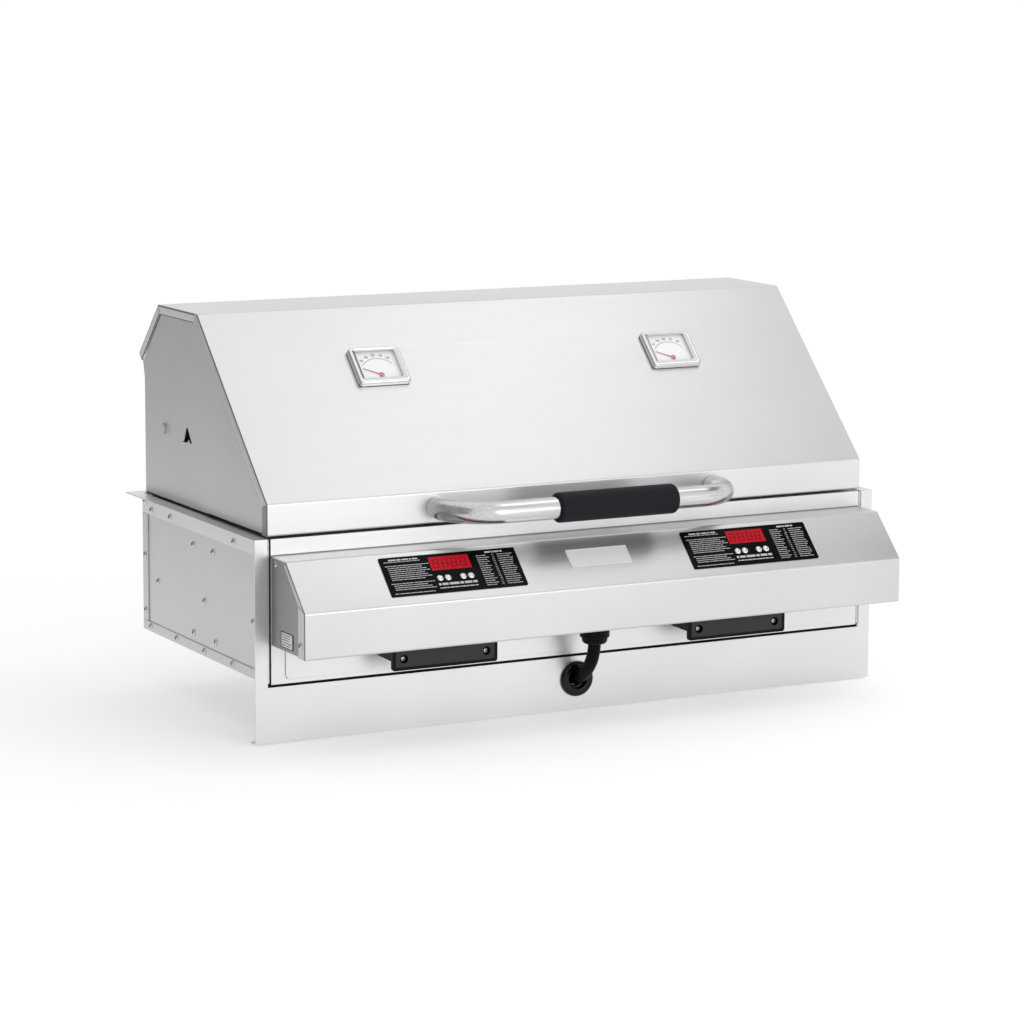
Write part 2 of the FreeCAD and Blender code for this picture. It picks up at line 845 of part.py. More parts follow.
def display_boards():
    """Circuit boards behind the panels, each with its display and four switches."""
    half_width, half_height = size("panel_width") / 2 - 15, size("panel_height") / 2 - 5.15
    face, thick = -10.4, 1.6
    shift = size("panel_down_slope") - size("window_down_slope")
    row = size("panel_down_slope") - size("button_down_slope")
    show_width, show_height = size("window_width") / 2 - 2, size("window_height") / 2 - 2
    post_x, post_y = half_width - 6, half_height - 5
    boards = []
    for side in (-1, 1):
        board = block((-half_width, half_width), (-half_height, half_height), (face - thick, face))
        display = block((-show_width, show_width), (shift - show_height, shift + show_height), (face, -0.4))
        switches = [
            block((place - 3, place + 3), (row - 3, row + 3), (face, face + 3.2)) for place in button_places
        ]
        posts = [
            rod(2.5, (x, y, face), -face - gauge) for x in (-post_x, post_x) for y in (-post_y, post_y)
        ]
        one = fuse(board, display, *switches, *posts)
        boards.append(on_slope(one, side * panel_middle, size("panel_down_slope")))
    return group(*boards)


def blank_plates():
    """The bare badge on the slope and the bare plate on the left end cap."""
    badge = flat_plate(size("badge_width"), size("badge_height"), 1.2, 1.5)
    on_slope(badge, -size("badge_offset"), size("badge_down_slope"))
    outer = -box_half + gauge
    plate = block((outer - 0.5, outer), (-57, -25), (box_foot + 5, box_foot + 22.5))
    return group(badge, plate)


# The lid
lid_front = size("lid_front_inset")
lid_foot = size("lid_gap")
band_top = lid_foot + size("band_height")
band_foot = size("band_gap")
ridge = size("ridge_height")
front_ridge = size("front_ridge_inset")
back_ridge = body_back - size("back_ridge_setback")
rear_lip = body_back + size("rear_lip_reach")
rear_lip_height = size("rear_lip_height")
lid_half = body_half
hinge_y = body_back - size("hinge_setback")
hinge_z = size("hinge_height")
plate_outer = lid_half - size("lid_side_inset")
plate_inner = plate_outer - gauge
wing_outer = plate_inner - seam
wing_inner = wing_outer - gauge
lid_rise = ridge.number - band_top.number
lid_run = front_ridge.number - lid_front.number
lid_angle = math.degrees(math.atan2(lid_rise, lid_run))
lid_up = Vector(0, lid_run, lid_rise).normalize()
lid_out = Vector(0, -lid_rise, lid_run).normalize()
back_way = Vector(0, rear_lip.number - back_ridge.number, rear_lip_height.number - ridge.number).normalize()
back_in = Vector(0, back_way.z, -back_way.y)
gauge_middles = {way: size("gauge_shift") + way * size("gauge_spacing") / 2 for way in (-1, 1)}
pivot_rise = -size("pivot_drop")
handle_y = -size("handle_reach") + lid_front
handle_z = size("handle_height")


def on_lid(item, x, up, out=0):
    """Lay a piece, made flat about the origin, on the front slope of the lid."""
    spot = Vector(0, lid_front.number, band_top.number)
    spot += lid_up * as_size(up).number + lid_out * as_size(out).number
    turn = FreeCAD.Rotation(Vector(1, 0, 0), lid_angle)
    item.Placement = FreeCAD.Placement(Vector(as_size(x).number, spot.y, spot.z), turn)
    return item


def beside(y, z, way, distance):
    """A point moved from (y, z) by a distance along a way in the side view."""
    return (y + way.y * distance, z + way.z * distance)


def lid_shell():
    """The bent outer sheet of the lid, with a lip down each side."""
    profile = [
        (lid_front + 12, band_foot),
        (lid_front, band_foot),
        (lid_front, band_top),
        (front_ridge, ridge),
        (back_ridge, ridge),
        (rear_lip, rear_lip_height),
    ]
    skin = bent_sheet(profile, gauge, 2 * lid_half, side=-1, name="lid_skin")
    lip = size("lid_lip_width") + gauge
    band_lip = size("band_lip_width")
    lip_outline = [
        (lid_front + 0.7, band_foot + 0.7),
        (lid_front + 0.7, band_top - 0.3),
        (front_ridge + 0.3, ridge - 0.7),
        (back_ridge - 0.3, ridge - 0.7),
        beside(rear_lip, rear_lip_height, back_in, 0.7),
        beside(rear_lip, rear_lip_height, back_in, 8),
        (back_ridge - 5.5, ridge - lip),
        (front_ridge + 5, ridge - lip),
        (lid_front + band_lip, band_top - 4.5),
        (lid_front + band_lip, band_foot + 0.7),
    ]
    lip_gauge = size("lid_side_inset")
    side_lip = plate_yz(lip_outline, lip_gauge, lid_half - lip_gauge / 2, "side_lip")
    tools = [rod(3.5, (way * size("handle_half_span"), -5, handle_z), 20, "y") for way in (-1, 1)]
    for way in (-1, 1):
        hole = document.addObject("Part::Cylinder", "stem_hole")
        bind(hole, Radius=size("stem_radius") + 0.3, Height=10)
        tools.append(on_lid(hole, gauge_middles[way], size("gauge_up_slope") + pivot_rise, -5))
    return cut(fuse(skin, side_lip, mirrored(side_lip)), *tools)


def by_hinge(*steps):
    """Points of the side view given by their steps back and up from the hinge."""
    return [(hinge_y + back, hinge_z + up) for back, up in steps]


def lid_side():
    """The right side plate of the lid, cut back where the fixed wing shows."""
    cut_back = by_hinge(
        (58, 54.5),
        (41, 34),
        (23, 16),
        (11, 5),
        (9, -8),
        (0, -11.5),
        (-19, -10),
        (-52, -11),
        (-64, -12),
        (-93, -25),
        (-105, -36),
        (-107, -53),
        (-112, -73),
    )
    outline = [
        (lid_front + gauge + 0.2, lid_foot + gauge + 0.1),
        (lid_front + gauge + 0.2, band_top - 1),
        (front_ridge + 0.9, ridge - gauge - 0.2),
        (back_ridge - 15, ridge - gauge - 0.2),
        beside(rear_lip, rear_lip_height, back_in, 12.5),
        *cut_back,
        (hinge_y - 114, lid_foot),
        (lid_front + 14, lid_foot),
        (lid_front + 14, lid_foot + gauge + 0.1),
    ]
    plate = plate_yz(outline, gauge, plate_inner + gauge / 2, "lid_plate")
    peep = by_hinge(
        (-55, -8.5),
        (-59, -6.5),
        (-64, 5.5),
        (-67, 9.5),
        (-70.5, 9.5),
        (-74, 4.5),
        (-82.5, -7),
        (-77, -8),
        (-72.5, -4),
        (-69, -8),
    )
    peep_hole = plate_yz(peep, 6 * gauge, plate_inner, "peep_hole")
    bore_radius = size("hinge_pin_radius") + size("running_clearance")
    bore = rod(bore_radius, (plate_inner - 2, hinge_y, hinge_z), 8, "x")
    return cut(plate, peep_hole, bore)


def lid_liner():
    """The inner heat sheet of the lid, hung between the side plates."""
    space = 14
    start = Vector(0, lid_front.number, band_top.number) + lid_out * -space + lid_up * 8
    crest_shift = math.tan(math.radians(lid_angle / 2)) * space
    crest = Vector(0, front_ridge.number + crest_shift, ridge.number - space)
    turn = math.atan2(-back_way.z, back_way.y) / 2
    corner = Vector(0, back_ridge.number - math.tan(turn) * space, ridge.number - space)
    end = corner + back_way * 44
    profile = [(start.y, start.z), (crest.y, crest.z), (corner.y, corner.z), (end.y, end.z)]
    skin = bent_sheet(profile, size("firebox_wall"), 2 * plate_inner - 0.2, side=-1, name="liner_skin")
    holes = []
    for way in (-1, 1):
        hole = document.addObject("Part::Cylinder", "liner_hole")
        bind(hole, Radius=size("stem_radius") + 1.5, Height=12)
        holes.append(on_lid(hole, gauge_middles[way], size("gauge_up_slope") + pivot_rise, -20))
    return cut(skin, *holes)


def handle_path():
    """The handle's middle line: a leg, a bend, the long bar, a bend and a leg."""
    span, bend = size("handle_half_span").number, size("handle_bend").number
    y, z, root = handle_y.number, handle_z.number, lid_front.number
    slant = bend * (1 - math.sqrt(0.5))
    edges = []
    for way in (-1, 1):
        leg = (Vector(way * span, root, z), Vector(way * span, y + bend, z))
        arc = (leg[1], Vector(way * (span - slant), y + slant, z), Vector(way * (span - bend), y, z))
        pieces = [Part.LineSegment(*leg).toShape(), Part.Arc(*arc).toShape()]
        edges.extend(pieces if way < 0 else [])
        if way > 0:
            bar = Part.LineSegment(Vector(-(span - bend), y, z), Vector(span - bend, y, z)).toShape()
            back_arc = Part.Arc(arc[2], arc[1], arc[0]).toShape()
            edges.extend([bar, back_arc, Part.LineSegment(leg[1], leg[0]).toShape()])
    return Part.Wire(edges)


def handle_tube():
    """The bent tube, plugged at both ends, where the bolts screw in."""
    span, z, root = size("handle_half_span").number, handle_z.number, lid_front.number
    skins = []
    outer_radius = size("handle_radius").number
    for radius in (outer_radius, size("handle_bore").number):
        ring = Part.Circle(Vector(-span, root, z), Vector(0, 1, 0), radius)
        skins.append(handle_path().makePipeShell([Part.Wire(ring.toShape())], True, False))
    plug = 14
    back_way_y = Vector(0, 1, 0)
    for way in (-1, 1):
        keep = Part.makeCylinder(outer_radius + 1, plug, Vector(way * span, root - plug, z), back_way_y)
        skins[1] = skins[1].cut(keep)
    tube = skins[0].cut(skins[1])
    for way in (-1, 1):
        bore = Part.makeCylinder(3.25, plug - 1, Vector(way * span, root - plug + 1, z), back_way_y)
        tube = tube.cut(bore)
    return shaped("tube", tube)


def handle_grip():
    """The ribbed rubber sleeve's plain body, a ring round the bar."""
    middle = size("grip_offset")
    half = size("grip_length") / 2
    sleeve = rod(size("grip_radius"), (middle - half, handle_y, handle_z), 2 * half, "x")
    document.recompute()
    soft = document.addObject("Part::Fillet", "grip_body")
    soft.Base = sleeve
    rims = [
        index
        for index, edge in enumerate(sleeve.Shape.Edges, start=1)
        if edge.Closed and len(edge.Vertexes) == 1
    ]
    soft.Edges = [(index, 4, 4) for index in rims]
    bore = rod(size("handle_radius") + 0.05, (middle - half - 2, handle_y, handle_z), 2 * half + 4, "x")
    return cut(soft, bore)


def handle_bolts():
    """Bolts with wide heads, put in from inside the lid."""
    bolts = []
    inside = lid_front + gauge
    for way in (-1, 1):
        x = way * size("handle_half_span")
        shank = rod(3.2, (x, lid_front - 12, handle_z), 12 + gauge, "y")
        washer = rod(9, (x, inside, handle_z), 1.6, "y")
        head = rod(6.5, (x, inside + 1.6, handle_z), 5, "y")
        bolts.append(fuse(shank, washer, head))
    return group(*bolts)


recess_width = size("dial_width") + 5
recess_height = size("dial_height") + 5
dial_shift = size("dial_rise")
glass_top = 5.4


def gauge_bezel(way):
    """A square rim with a deep recess from below and a smaller window on top."""
    rim_plate = flat_plate(size("gauge_width"), size("gauge_height"), size("gauge_thickness"), 4)
    window = flat_plate(size("dial_width"), size("dial_height"), 20, 2, low=-2)
    move(window, 0, dial_shift, 0)
    recess = flat_plate(recess_width + 0.4, recess_height + 0.4, glass_top + 2, 2, low=-2)
    move(recess, 0, dial_shift, 0)
    return on_lid(cut(rim_plate, window, recess), gauge_middles[way], size("gauge_up_slope"))


def gauge_movement(way):
    """The dial plate with its stem, which goes through the lid to the heat."""
    dial = flat_plate(recess_width, recess_height, 1.2, 2, low=0.05)
    move(dial, 0, dial_shift, 0)
    stem = rod(size("stem_radius"), (0, pivot_rise, -size("stem_length")), size("stem_length") + 0.5)
    nut = rod(8, (0, pivot_rise, -gauge - 4.1), 4)
    return on_lid(fuse(dial, stem, nut), gauge_middles[way], size("gauge_up_slope"))


def gauge_glass(way):
    pane = flat_plate(recess_width, recess_height, 1.4, 2, low=glass_top - 1.45)
    return on_lid(pane, gauge_middles[way], size("gauge_up_slope") + dial_shift)


pointer_angle = 154
pointer_reach = 23


def gauge_pointer(way):
    """A tapered needle with its hub, set on the pivot of the dial."""
    body, sketch = new_sketch("needle", "XY_Plane")
    half_outline = [(-6, -1.6), (0, -1.9), (pointer_reach, -0.5)]
    draw_closed(sketch, half_outline + [(x, -y) for x, y in reversed(half_outline)])
    pad(body, sketch, 0.7, symmetric=False)
    needle = fuse(body, rod(3.6, (0, 0, 0), 1.6))
    needle.Placement = FreeCAD.Placement(Vector(0, 0, 0), FreeCAD.Rotation(Vector(0, 0, 1), pointer_angle))
    holder = fuse(needle, rod(3.6, (0, 0, 0), 1.6))
    return on_lid(holder, gauge_middles[way], size("gauge_up_slope") + pivot_rise, 1.55)


def rear_shield():
    """The fixed back wall under the lid, with the wings that carry the hinge."""
    wall_face = body_back
    top = size("wing_top")
    profile = [(wall_face - 20, 0), (wall_face, 0), (wall_face, top), (wall_face + 5.5, top + 13)]
    back = bent_sheet(profile, gauge, 2 * wing_outer, side=1, name="back_wall")
    foot = size("wing_foot")
    upper_edge = by_hinge(
        (32, 42.5),
        (14, 25.5),
        (-2, 17.5),
        (-20, 11.5),
        (-36, 3.5),
        (-46, -9),
        (-80, -9),
        (-100, -19.5),
        (-114, -33.5),
        (-117, -51.5),
    )
    outline = [
        (wall_face - 0.5, foot),
        (wall_face - 0.5, top - 1),
        (hinge_y + 47, top - 1),
        *upper_edge,
        (hinge_y - 122, foot),
    ]
    wing = plate_yz(outline, gauge, wing_inner + gauge / 2, "wing")
    bore = rod(size("hinge_pin_radius") + 0.02, (wing_inner - 2, hinge_y, hinge_z), 8, "x")
    bored = cut(wing, bore)
    return fuse(back, bored, mirrored(bored))


def hinge_pins():
    """Shouldered pins fixed in the wings, on which the lid turns."""
    head_face = plate_outer + seam
    start = wing_inner - 7
    shank = rod(size("hinge_pin_radius"), (start, hinge_y, hinge_z), head_face - start, "x")
    nut = rod(7, (wing_inner - 6, hinge_y, hinge_z), 6, "x")
    head = rod(6.5, (head_face, hinge_y, hinge_z), 3, "x")
    pin = fuse(shank, nut, head)
    return group(pin, mirrored(pin))


def temperature_probes():
    """Sensor rods through the firebox wall, with collars on their front."""
    probes = []
    for side in (-1, 1):
        x = side * probe_x
        sensor = rod(size("probe_radius"), (x, -12, probe_z), 160, "y")
        collar = rod(6, (x, liner_front - 6, probe_z), 6, "y")
        probes.append(fuse(sensor, collar))
    return group(*probes)


def power_relays():
    """Two relays on the box's bottom cover, which switch the elements."""
    floor = box_foot + gauge
    relays = []
    for x in (-130, 130):
        case = block((x - 19, x + 19), (-48, -16), (floor, floor + 24))
        tab_heights = (floor + 24, floor + 31)
        tabs = [block((x + shift, x + shift + 5), (-40, -38), tab_heights) for shift in (-14, -4, 6)]
        relays.append(fuse(case, *tabs))
    return relays


def terminal_block():
    """The supply terminals on the bottom cover: a bar with three clamps."""
    floor = box_foot + gauge
    bar = block((45, 95), (-46, -24), (floor, floor + 16))
    wells = [rod(4.5, (x, -35, floor + 6), 12) for x in (54, 70, 86)]
    return cut(bar, *wells)


gland_foot = box_foot - size("gland_height")
cord_radius = size("cord_diameter") / 2


def cable_gland():
    """The domed gland under the box and the locknut above the sheet."""
    radius = size("gland_radius")
    hex_foot = box_foot - size("gland_height") * 0.62
    body = turned(
        [
            (0, box_foot + 10),
            (gland_thread - 0.05, box_foot + 10),
            (gland_thread - 0.05, box_foot),
            (radius, box_foot),
            (radius, box_foot - 3),
            (radius - 1, box_foot - 3.5),
            (radius - 1, hex_foot),
            (radius - 3, hex_foot - 4),
            (cord_radius + 2.5, gland_foot + 1),
            (cord_radius + 1, gland_foot),
            (0, gland_foot),
        ],
        "gland",
    )
    locknut = turned(
        [
            (gland_thread + 0.05, box_foot + gauge),
            (gland_thread + 5, box_foot + gauge),
            (gland_thread + 5, box_foot + gauge + 5),
            (gland_thread + 0.05, box_foot + gauge + 5),
        ],
        "locknut",
    )
    pair = group(body, locknut)
    return move(pair, 0, -size("cord_inset"), 0)


def apron_grommet():
    """The rubber ring in the apron: a round collar each side of the sheet."""
    radius = size("grommet_radius")
    bore = size("grommet_bore") / 2
    neck = bore + 3 - 0.05
    ring = turned(
        [
            (bore, -gauge - 4),
            (bore + 2, -gauge - 5),
            (radius - 2, -gauge - 5),
            (radius, -gauge - 3),
            (radius, -gauge),
            (neck, -gauge),
            (neck, 0),
            (radius, 0),
            (radius, 3),
            (radius - 2.5, 5),
            (bore + 2.5, 5.5),
            (bore, 3.5),
        ],
        "grommet",
    )
    ring.Placement = FreeCAD.Placement(Vector(), FreeCAD.Rotation(Vector(1, 0, 0), 90))
    return move(ring, 0, 0, grommet_height)


# The supply cord: out of the gland, back through the grommet and on to a coil
# that is strapped up under the floor of the body
coil_top = (body_foot - seam - cord_radius).number
cord_route = [
    Vector(0, -42, -142.8),
    Vector(0, -42, -157),
    Vector(0, -30.5, -173),
    Vector(0, -16, -187),
    Vector(0, 4, -194),
    Vector(1, 29, -194.5),
    Vector(10, 64, -191),
    Vector(32, 106, -182),
    Vector(54, 146, -172),
    Vector(60, 190, coil_top),
]
coil_middle = Vector(150, 190, 0)
coil_pitch = size("cord_diameter").number + 0.6
coil_outer_radius = 90
coil_spiral_turns = 1.375
coil_climb_turns = 0.5
coil_turns = 2 * coil_spiral_turns + coil_climb_turns
coil_tail_turns = 1 / 6
coil_tail_drop = 9
steps_per_turn = 12


def arc_between(start, end, way):
    """An arc from start to end that sets off along way."""
    chord = end - start
    middle = (start + end) * 0.5
    angle = way.getAngle(chord)
    if angle < 1e-6:
        return Part.LineSegment(start, end).toShape()
    corner = start + way * (chord.Length / (2 * math.cos(angle)))
    crown = middle + (corner - middle) * (math.tan(angle / 2) / math.tan(angle))
    return Part.Arc(start, crown, end).toShape()


def rounded_route(points):
    """Straight runs joined by tangent arcs, as large as the runs allow."""
    edges, radii = [], []
    here = points[0]
    for before, corner, after in zip(points, points[1:], points[2:]):
        in_way, out_way = (corner - before).normalize(), (after - corner).normalize()
        half_turn = in_way.getAngle(out_way) / 2
        reach = 0.45 * min((corner - before).Length, (after - corner).Length)
        radii.append(reach / math.tan(half_turn))
        arc_start, arc_end = corner - in_way * reach, corner + out_way * reach
        edges.append(Part.LineSegment(here, arc_start).toShape())
        edges.append(arc_between(arc_start, arc_end, in_way))
        here = arc_end
    edges.append(Part.LineSegment(here, points[-1]).toShape())
    return Part.Wire(edges), radii


def tube_along(path, start, way):
    ring = Part.Circle(start, way, cord_radius.number)
    return path.makePipeShell([Part.Wire(ring.toShape())], True, False)


def power_cord():
    path, radii = rounded_route(cord_route)
    tube = tube_along(path, cord_route[0], (cord_route[1] - cord_route[0]).normalize())
    expected = math.pi * cord_radius.number**2 * path.Length
    print("cord arcs", [round(radius) for radius in radii], "length", round(path.Length))
    print("cord volume over section times length", round(tube.Volume / expected, 4))
    return shaped("cord", tube)


def coil_point(turns):
    """Where the coil's middle line is after a number of turns."""
    half_time = coil_spiral_turns + coil_climb_turns / 2
    radius = coil_outer_radius - coil_pitch * (half_time - abs(turns - half_time))
    climb = min(max((turns - coil_spiral_turns) / coil_climb_turns, 0), 1)
    smooth = climb * climb * (3 - 2 * climb)
    angle = math.pi - 2 * math.pi * turns
    tail = max(turns - coil_turns + coil_tail_turns, 0) / coil_tail_turns
    level = coil_top - coil_pitch * smooth - coil_tail_drop * tail * tail
    return coil_middle + Vector(radius * math.cos(angle), radius * math.sin(angle), level)


def coil_way(turns):
    step = 1e-4
    return (coil_point(turns + step) - coil_point(turns - step)).normalize()


def biarc(start, start_way, end, end_way):
    """Two tangent arcs from one point and way to another."""
    chord, ways = end - start, start_way + end_way
    spread = 2 * (1 - start_way.dot(end_way))
    lean = chord.dot(ways)
    reach = (math.sqrt(lean * lean + spread * chord.dot(chord)) - lean) / spread
    joint = (start + end + (start_way - end_way) * reach) * 0.5
    second = arc_between(end, joint, end_way * -1)
    return [arc_between(start, joint, start_way), second]


def cord_coil():
    """Loops that spiral in, drop a layer and spiral out again, as one tube."""
    turns = coil_turns
    count = round(turns * steps_per_turn)
    spots = [turns * i / count for i in range(count + 1)]
    ways = [coil_way(spot) for spot in spots]
    edges = []
    for spot, following, way, next_way in zip(spots, spots[1:], ways, ways[1:]):
        edges.extend(biarc(coil_point(spot), way, coil_point(following), next_way))
    path = Part.Wire(edges)
    samples = [coil_point(turns * i / 1200) for i in range(1201)]
    apart = round(1200 * 0.5 / turns)
    nearest = min(
        (samples[i] - samples[j]).Length for i in range(0, 1201, 2) for j in range(i + apart, 1201, 2)
    )
    least_gap = nearest - 2 * cord_radius.number
    print("coil length", round(path.Length), "least gap to itself", round(least_gap, 2))
    return shaped("coil", tube_along(path, coil_point(0), ways[0]))


coil_end = coil_point(coil_turns)
coil_end_way = coil_way(coil_turns)


def power_plug():
    """The plug on the coil's end: a tapered sleeve, a round body and three blades."""
    radius = cord_radius.number
    body = turned(
        [(0, 0), (radius + 1, 0), (radius + 3, 24), (17, 30), (19, 36), (19, 62), (17.5, 64), (0, 64)],
        "plug_body",
    )
    blades = [
        block((-9, -7.4), (-3.5, 3.5), (64, 82)),
        block((7.4, 9), (-3.5, 3.5), (64, 82)),
        rod(2.4, (0, 9, 64), 20),
    ]
    plug = fuse(body, *blades)
    plug.Placement = FreeCAD.Placement(coil_end, FreeCAD.Rotation(Vector(0, 0, 1), coil_end_way))
    return plug


def cord_straps():
    """Two saddles screwed under the floor, which hold the coil up."""
    strap = 1.2
    half_width = 8
    foot_length = 12 - strap
    inner, outer = 58, coil_outer_radius + cord_radius.number + 2
    top, low = body_foot, coil_top - coil_pitch - cord_radius.number - 1
    straps = []
    for across in ("x", "y"):
        if across == "x":
            cross = (coil_middle.x + inner, coil_middle.x + outer)
            along = (coil_middle.y - half_width, coil_middle.y + half_width)
        else:
            cross = (coil_middle.y - outer, coil_middle.y - inner)
            along = (coil_middle.x - half_width, coil_middle.x + half_width)
        near, far = cross[0] - strap, cross[1] + strap
        pieces = [
            ((near, cross[0]), (low, top)),
            ((cross[1], far), (low, top)),
            ((near, far), (low - strap, low)),
            ((near - foot_length, near), (top - strap, top)),
            ((far, far + foot_length), (top - strap, top)),
        ]
        bars = [block(span, along, z) if across == "x" else block(along, span, z) for span, z in pieces]
        straps.append(fuse(*bars))
    return group(*straps)


def screw(x, y, z, head_radius=3.8):
    """A screw driven in from the right, its head on a side face."""
    head = rod(head_radius, (x, y, z), 1.8, "x")
    shank = rod(1.7, (x - 5, y, z), 5, "x")
    return fuse(head, shank)


lip_middle = size("rear_lip_width") / 2
screw_rows = (
    (leg_foot + 15, True, (lip_middle,)),
    (leg_foot + 6.5, True, (27.4, 84.4, 268.4)),
    (leg_foot - 15.5, False, (149.4, 206.4)),
    (leg_foot - 50, True, (lip_middle,)),
    (body_foot + 64.5, False, (43.4, 181.4, 318.4)),
    (body_foot + 22, False, (149.4, 213.4)),
    (body_foot + 24, True, (lip_middle,)),
    (body_foot + 6.5, True, (22.4, 101.4, 183.4, 263.4)),
)


def body_screws():
    """All the screws seen on the two sides: each row's height, whether it goes through
    a lip or flange outside the panel, and the screws' steps from the back."""
    right = []
    for height, through_lip, setbacks in screw_rows:
        face = body_half + gauge if through_lip else body_half
        right += [screw(face, body_back - setback, height) for setback in setbacks]
    right += [screw(box_half - gauge, -11, ledge - 7), screw(box_half, -nose + 11, box_foot + 15)]
    return group(*right, *[mirrored(one) for one in right])


def build_everything():
    named(face_frame(), "face_frame")
    named(front_panel(), "front_panel")
    named(counter_flanges(), "counter_flanges")
    named(side_panel(), "side_panel_right")
    named(mirrored(made[-1]), "side_panel_left")
    named(rear_panel(), "rear_panel")
    named(bottom_pan(), "bottom_pan")
    named(body_screws(), "body_screws")
    named(firebox_liner(), "firebox_liner")
    named(group(*grate_ledges(), *element_supports()), "firebox_brackets")
    named(cooking_grate(), "cooking_grate_right")
    named(mirrored(made[-1]), "cooking_grate_left")
    named(heating_element(1), "heating_element_right")
    named(heating_element(-1), "heating_element_left")
    named(element_bushings(), "element_bushings")
    named(tray_rails(), "tray_rails")
    named(temperature_probes(), "temperature_probes")
    named(control_box_shell(), "control_box_shell")
    named(control_box_bottom(), "control_box_bottom")
    named(control_box_end(), "control_box_end_right")
    named(mirrored(made[-1]), "control_box_end_left")
    named(control_panel(1), "control_panel_right")
    named(control_panel(-1), "control_panel_left")
    named(display_boards(), "display_boards")
    named(group(*power_relays(), terminal_block()), "relays_and_terminals")
    named(blank_plates(), "blank_plates")
    for side, side_word in ((-1, "left"), (1, "right")):
        for number, place in enumerate(button_places, start=1):
            named(push_button(side, place), f"button_{side_word}_{number}")
    named(cable_gland(), "cable_gland")
    named(apron_grommet(), "apron_grommet")
    named(rear_shield(), "rear_shield")
    named(hinge_pins(), "hinge_pins")
    named(lid_shell(), "lid_shell")
    named(lid_side(), "lid_side_right")
    named(mirrored(made[-1]), "lid_side_left")
    named(lid_liner(), "lid_liner")
    named(handle_tube(), "handle_tube")
    named(handle_grip(), "handle_grip")
    named(handle_bolts(), "handle_bolts")
    named(group(gauge_bezel(-1), gauge_bezel(1)), "gauge_bezels")
    named(group(gauge_movement(-1), gauge_movement(1)), "gauge_movements")
    named(group(gauge_glass(-1), gauge_glass(1)), "gauge_glasses")
    named(gauge_pointer(-1), "gauge_pointer_left")
    named(gauge_pointer(1), "gauge_pointer_right")
    named(grease_tray(), "grease_tray_right")
    named(mirrored(made[-1]), "grease_tray_left")
    named(tray_handle(), "tray_handle_right")
    named(mirrored(made[-1]), "tray_handle_left")
    named(tray_handle_screws(), "tray_handle_screws_right")
    named(mirrored(made[-1]), "tray_handle_screws_left")
    named(power_cord(), "power_cord")
    named(cord_coil(), "cord_coil")
    named(power_plug(), "power_plug")
    named(cord_straps(), "cord_straps")


def check_everything():
    """Stop if an object failed or a sub-part has no valid shape."""
    failed = [item.Label for item in document.Objects if {"Invalid", "Error"} & set(item.State)]
    for item in made:
        shape = item.Shape
        if shape.isNull() or not shape.isValid() or not shape.Solids:
            failed.append(item.Label)
    if failed:
        raise SystemExit(f"these failed: {sorted(set(failed))}")


def write_everything():
    os.makedirs("parts", exist_ok=True)
    for item in made:
        item.Shape.exportStep(f"parts/{item.Label}.step")
        print(f"{item.Label:26s} {len(item.Shape.Solids):3d} solids {item.Shape.Volume / 1000:9.2f} cm3")
    print(len(made), "nodes")


build_everything()
document.recompute()
check_everything()
write_everything()
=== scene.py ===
# %% [markdown]
# The object is a drop-in electric barbecue grill in brushed stainless steel. Its
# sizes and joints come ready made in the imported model, which is loaded first and
# never changed. Every length here is in metres, in the frame of that model: X to
# the right, Y to the back, Z up, with the worktop's surface at Z = 0 and the front
# of the face frame at Y = 0.

from math import atan2, cos, pi, radians, sin, tan

import bmesh
import bpy
from mathutils import Matrix, Vector
from mathutils.geometry import tessellate_polygon


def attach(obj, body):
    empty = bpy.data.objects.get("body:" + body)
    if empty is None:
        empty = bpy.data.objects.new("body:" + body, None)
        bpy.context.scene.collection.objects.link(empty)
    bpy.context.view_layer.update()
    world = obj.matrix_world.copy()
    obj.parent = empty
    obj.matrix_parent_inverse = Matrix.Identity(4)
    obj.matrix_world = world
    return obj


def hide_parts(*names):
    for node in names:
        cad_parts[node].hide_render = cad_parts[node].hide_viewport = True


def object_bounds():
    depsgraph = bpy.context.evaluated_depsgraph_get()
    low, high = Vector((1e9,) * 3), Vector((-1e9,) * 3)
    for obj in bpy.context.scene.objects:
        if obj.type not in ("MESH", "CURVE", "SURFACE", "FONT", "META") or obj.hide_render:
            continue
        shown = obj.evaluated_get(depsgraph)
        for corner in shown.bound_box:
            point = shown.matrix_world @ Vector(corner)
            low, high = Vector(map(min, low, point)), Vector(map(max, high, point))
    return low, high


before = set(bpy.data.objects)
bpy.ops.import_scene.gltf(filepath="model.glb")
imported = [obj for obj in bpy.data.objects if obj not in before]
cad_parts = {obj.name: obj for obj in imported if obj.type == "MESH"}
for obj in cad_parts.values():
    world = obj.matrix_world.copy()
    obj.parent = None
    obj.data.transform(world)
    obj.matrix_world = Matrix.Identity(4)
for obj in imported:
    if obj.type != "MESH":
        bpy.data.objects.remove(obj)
model_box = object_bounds()
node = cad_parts


# %% [markdown]
# The camera comes first, because everything is judged through it. The directions of
# the long straight edges in the photograph fix how far it is turned, tipped and
# rolled, and how long its lens is: a long lens from four metres away, a little above
# the lid and off to the left.

# %% Place the camera
def add_object(name, data):
    """Put new data into the scene as an object."""
    item = bpy.data.objects.new(name, data)
    bpy.context.scene.collection.objects.link(item)
    return item


camera_turn, camera_tip, camera_roll = 0.493, 0.165, 0.00656
camera_spot = Vector((-1.935, -3.4415, 0.6605))
ahead = Vector((
    sin(camera_turn) * cos(camera_tip),
    cos(camera_turn) * cos(camera_tip),
    -sin(camera_tip),
))
level_right = ahead.cross(Vector((0, 0, 1))).normalized()
level_up = level_right.cross(ahead)
right_hand = level_right * cos(camera_roll) + level_up * sin(camera_roll)
up_hand = level_up * cos(camera_roll) - level_right * sin(camera_roll)

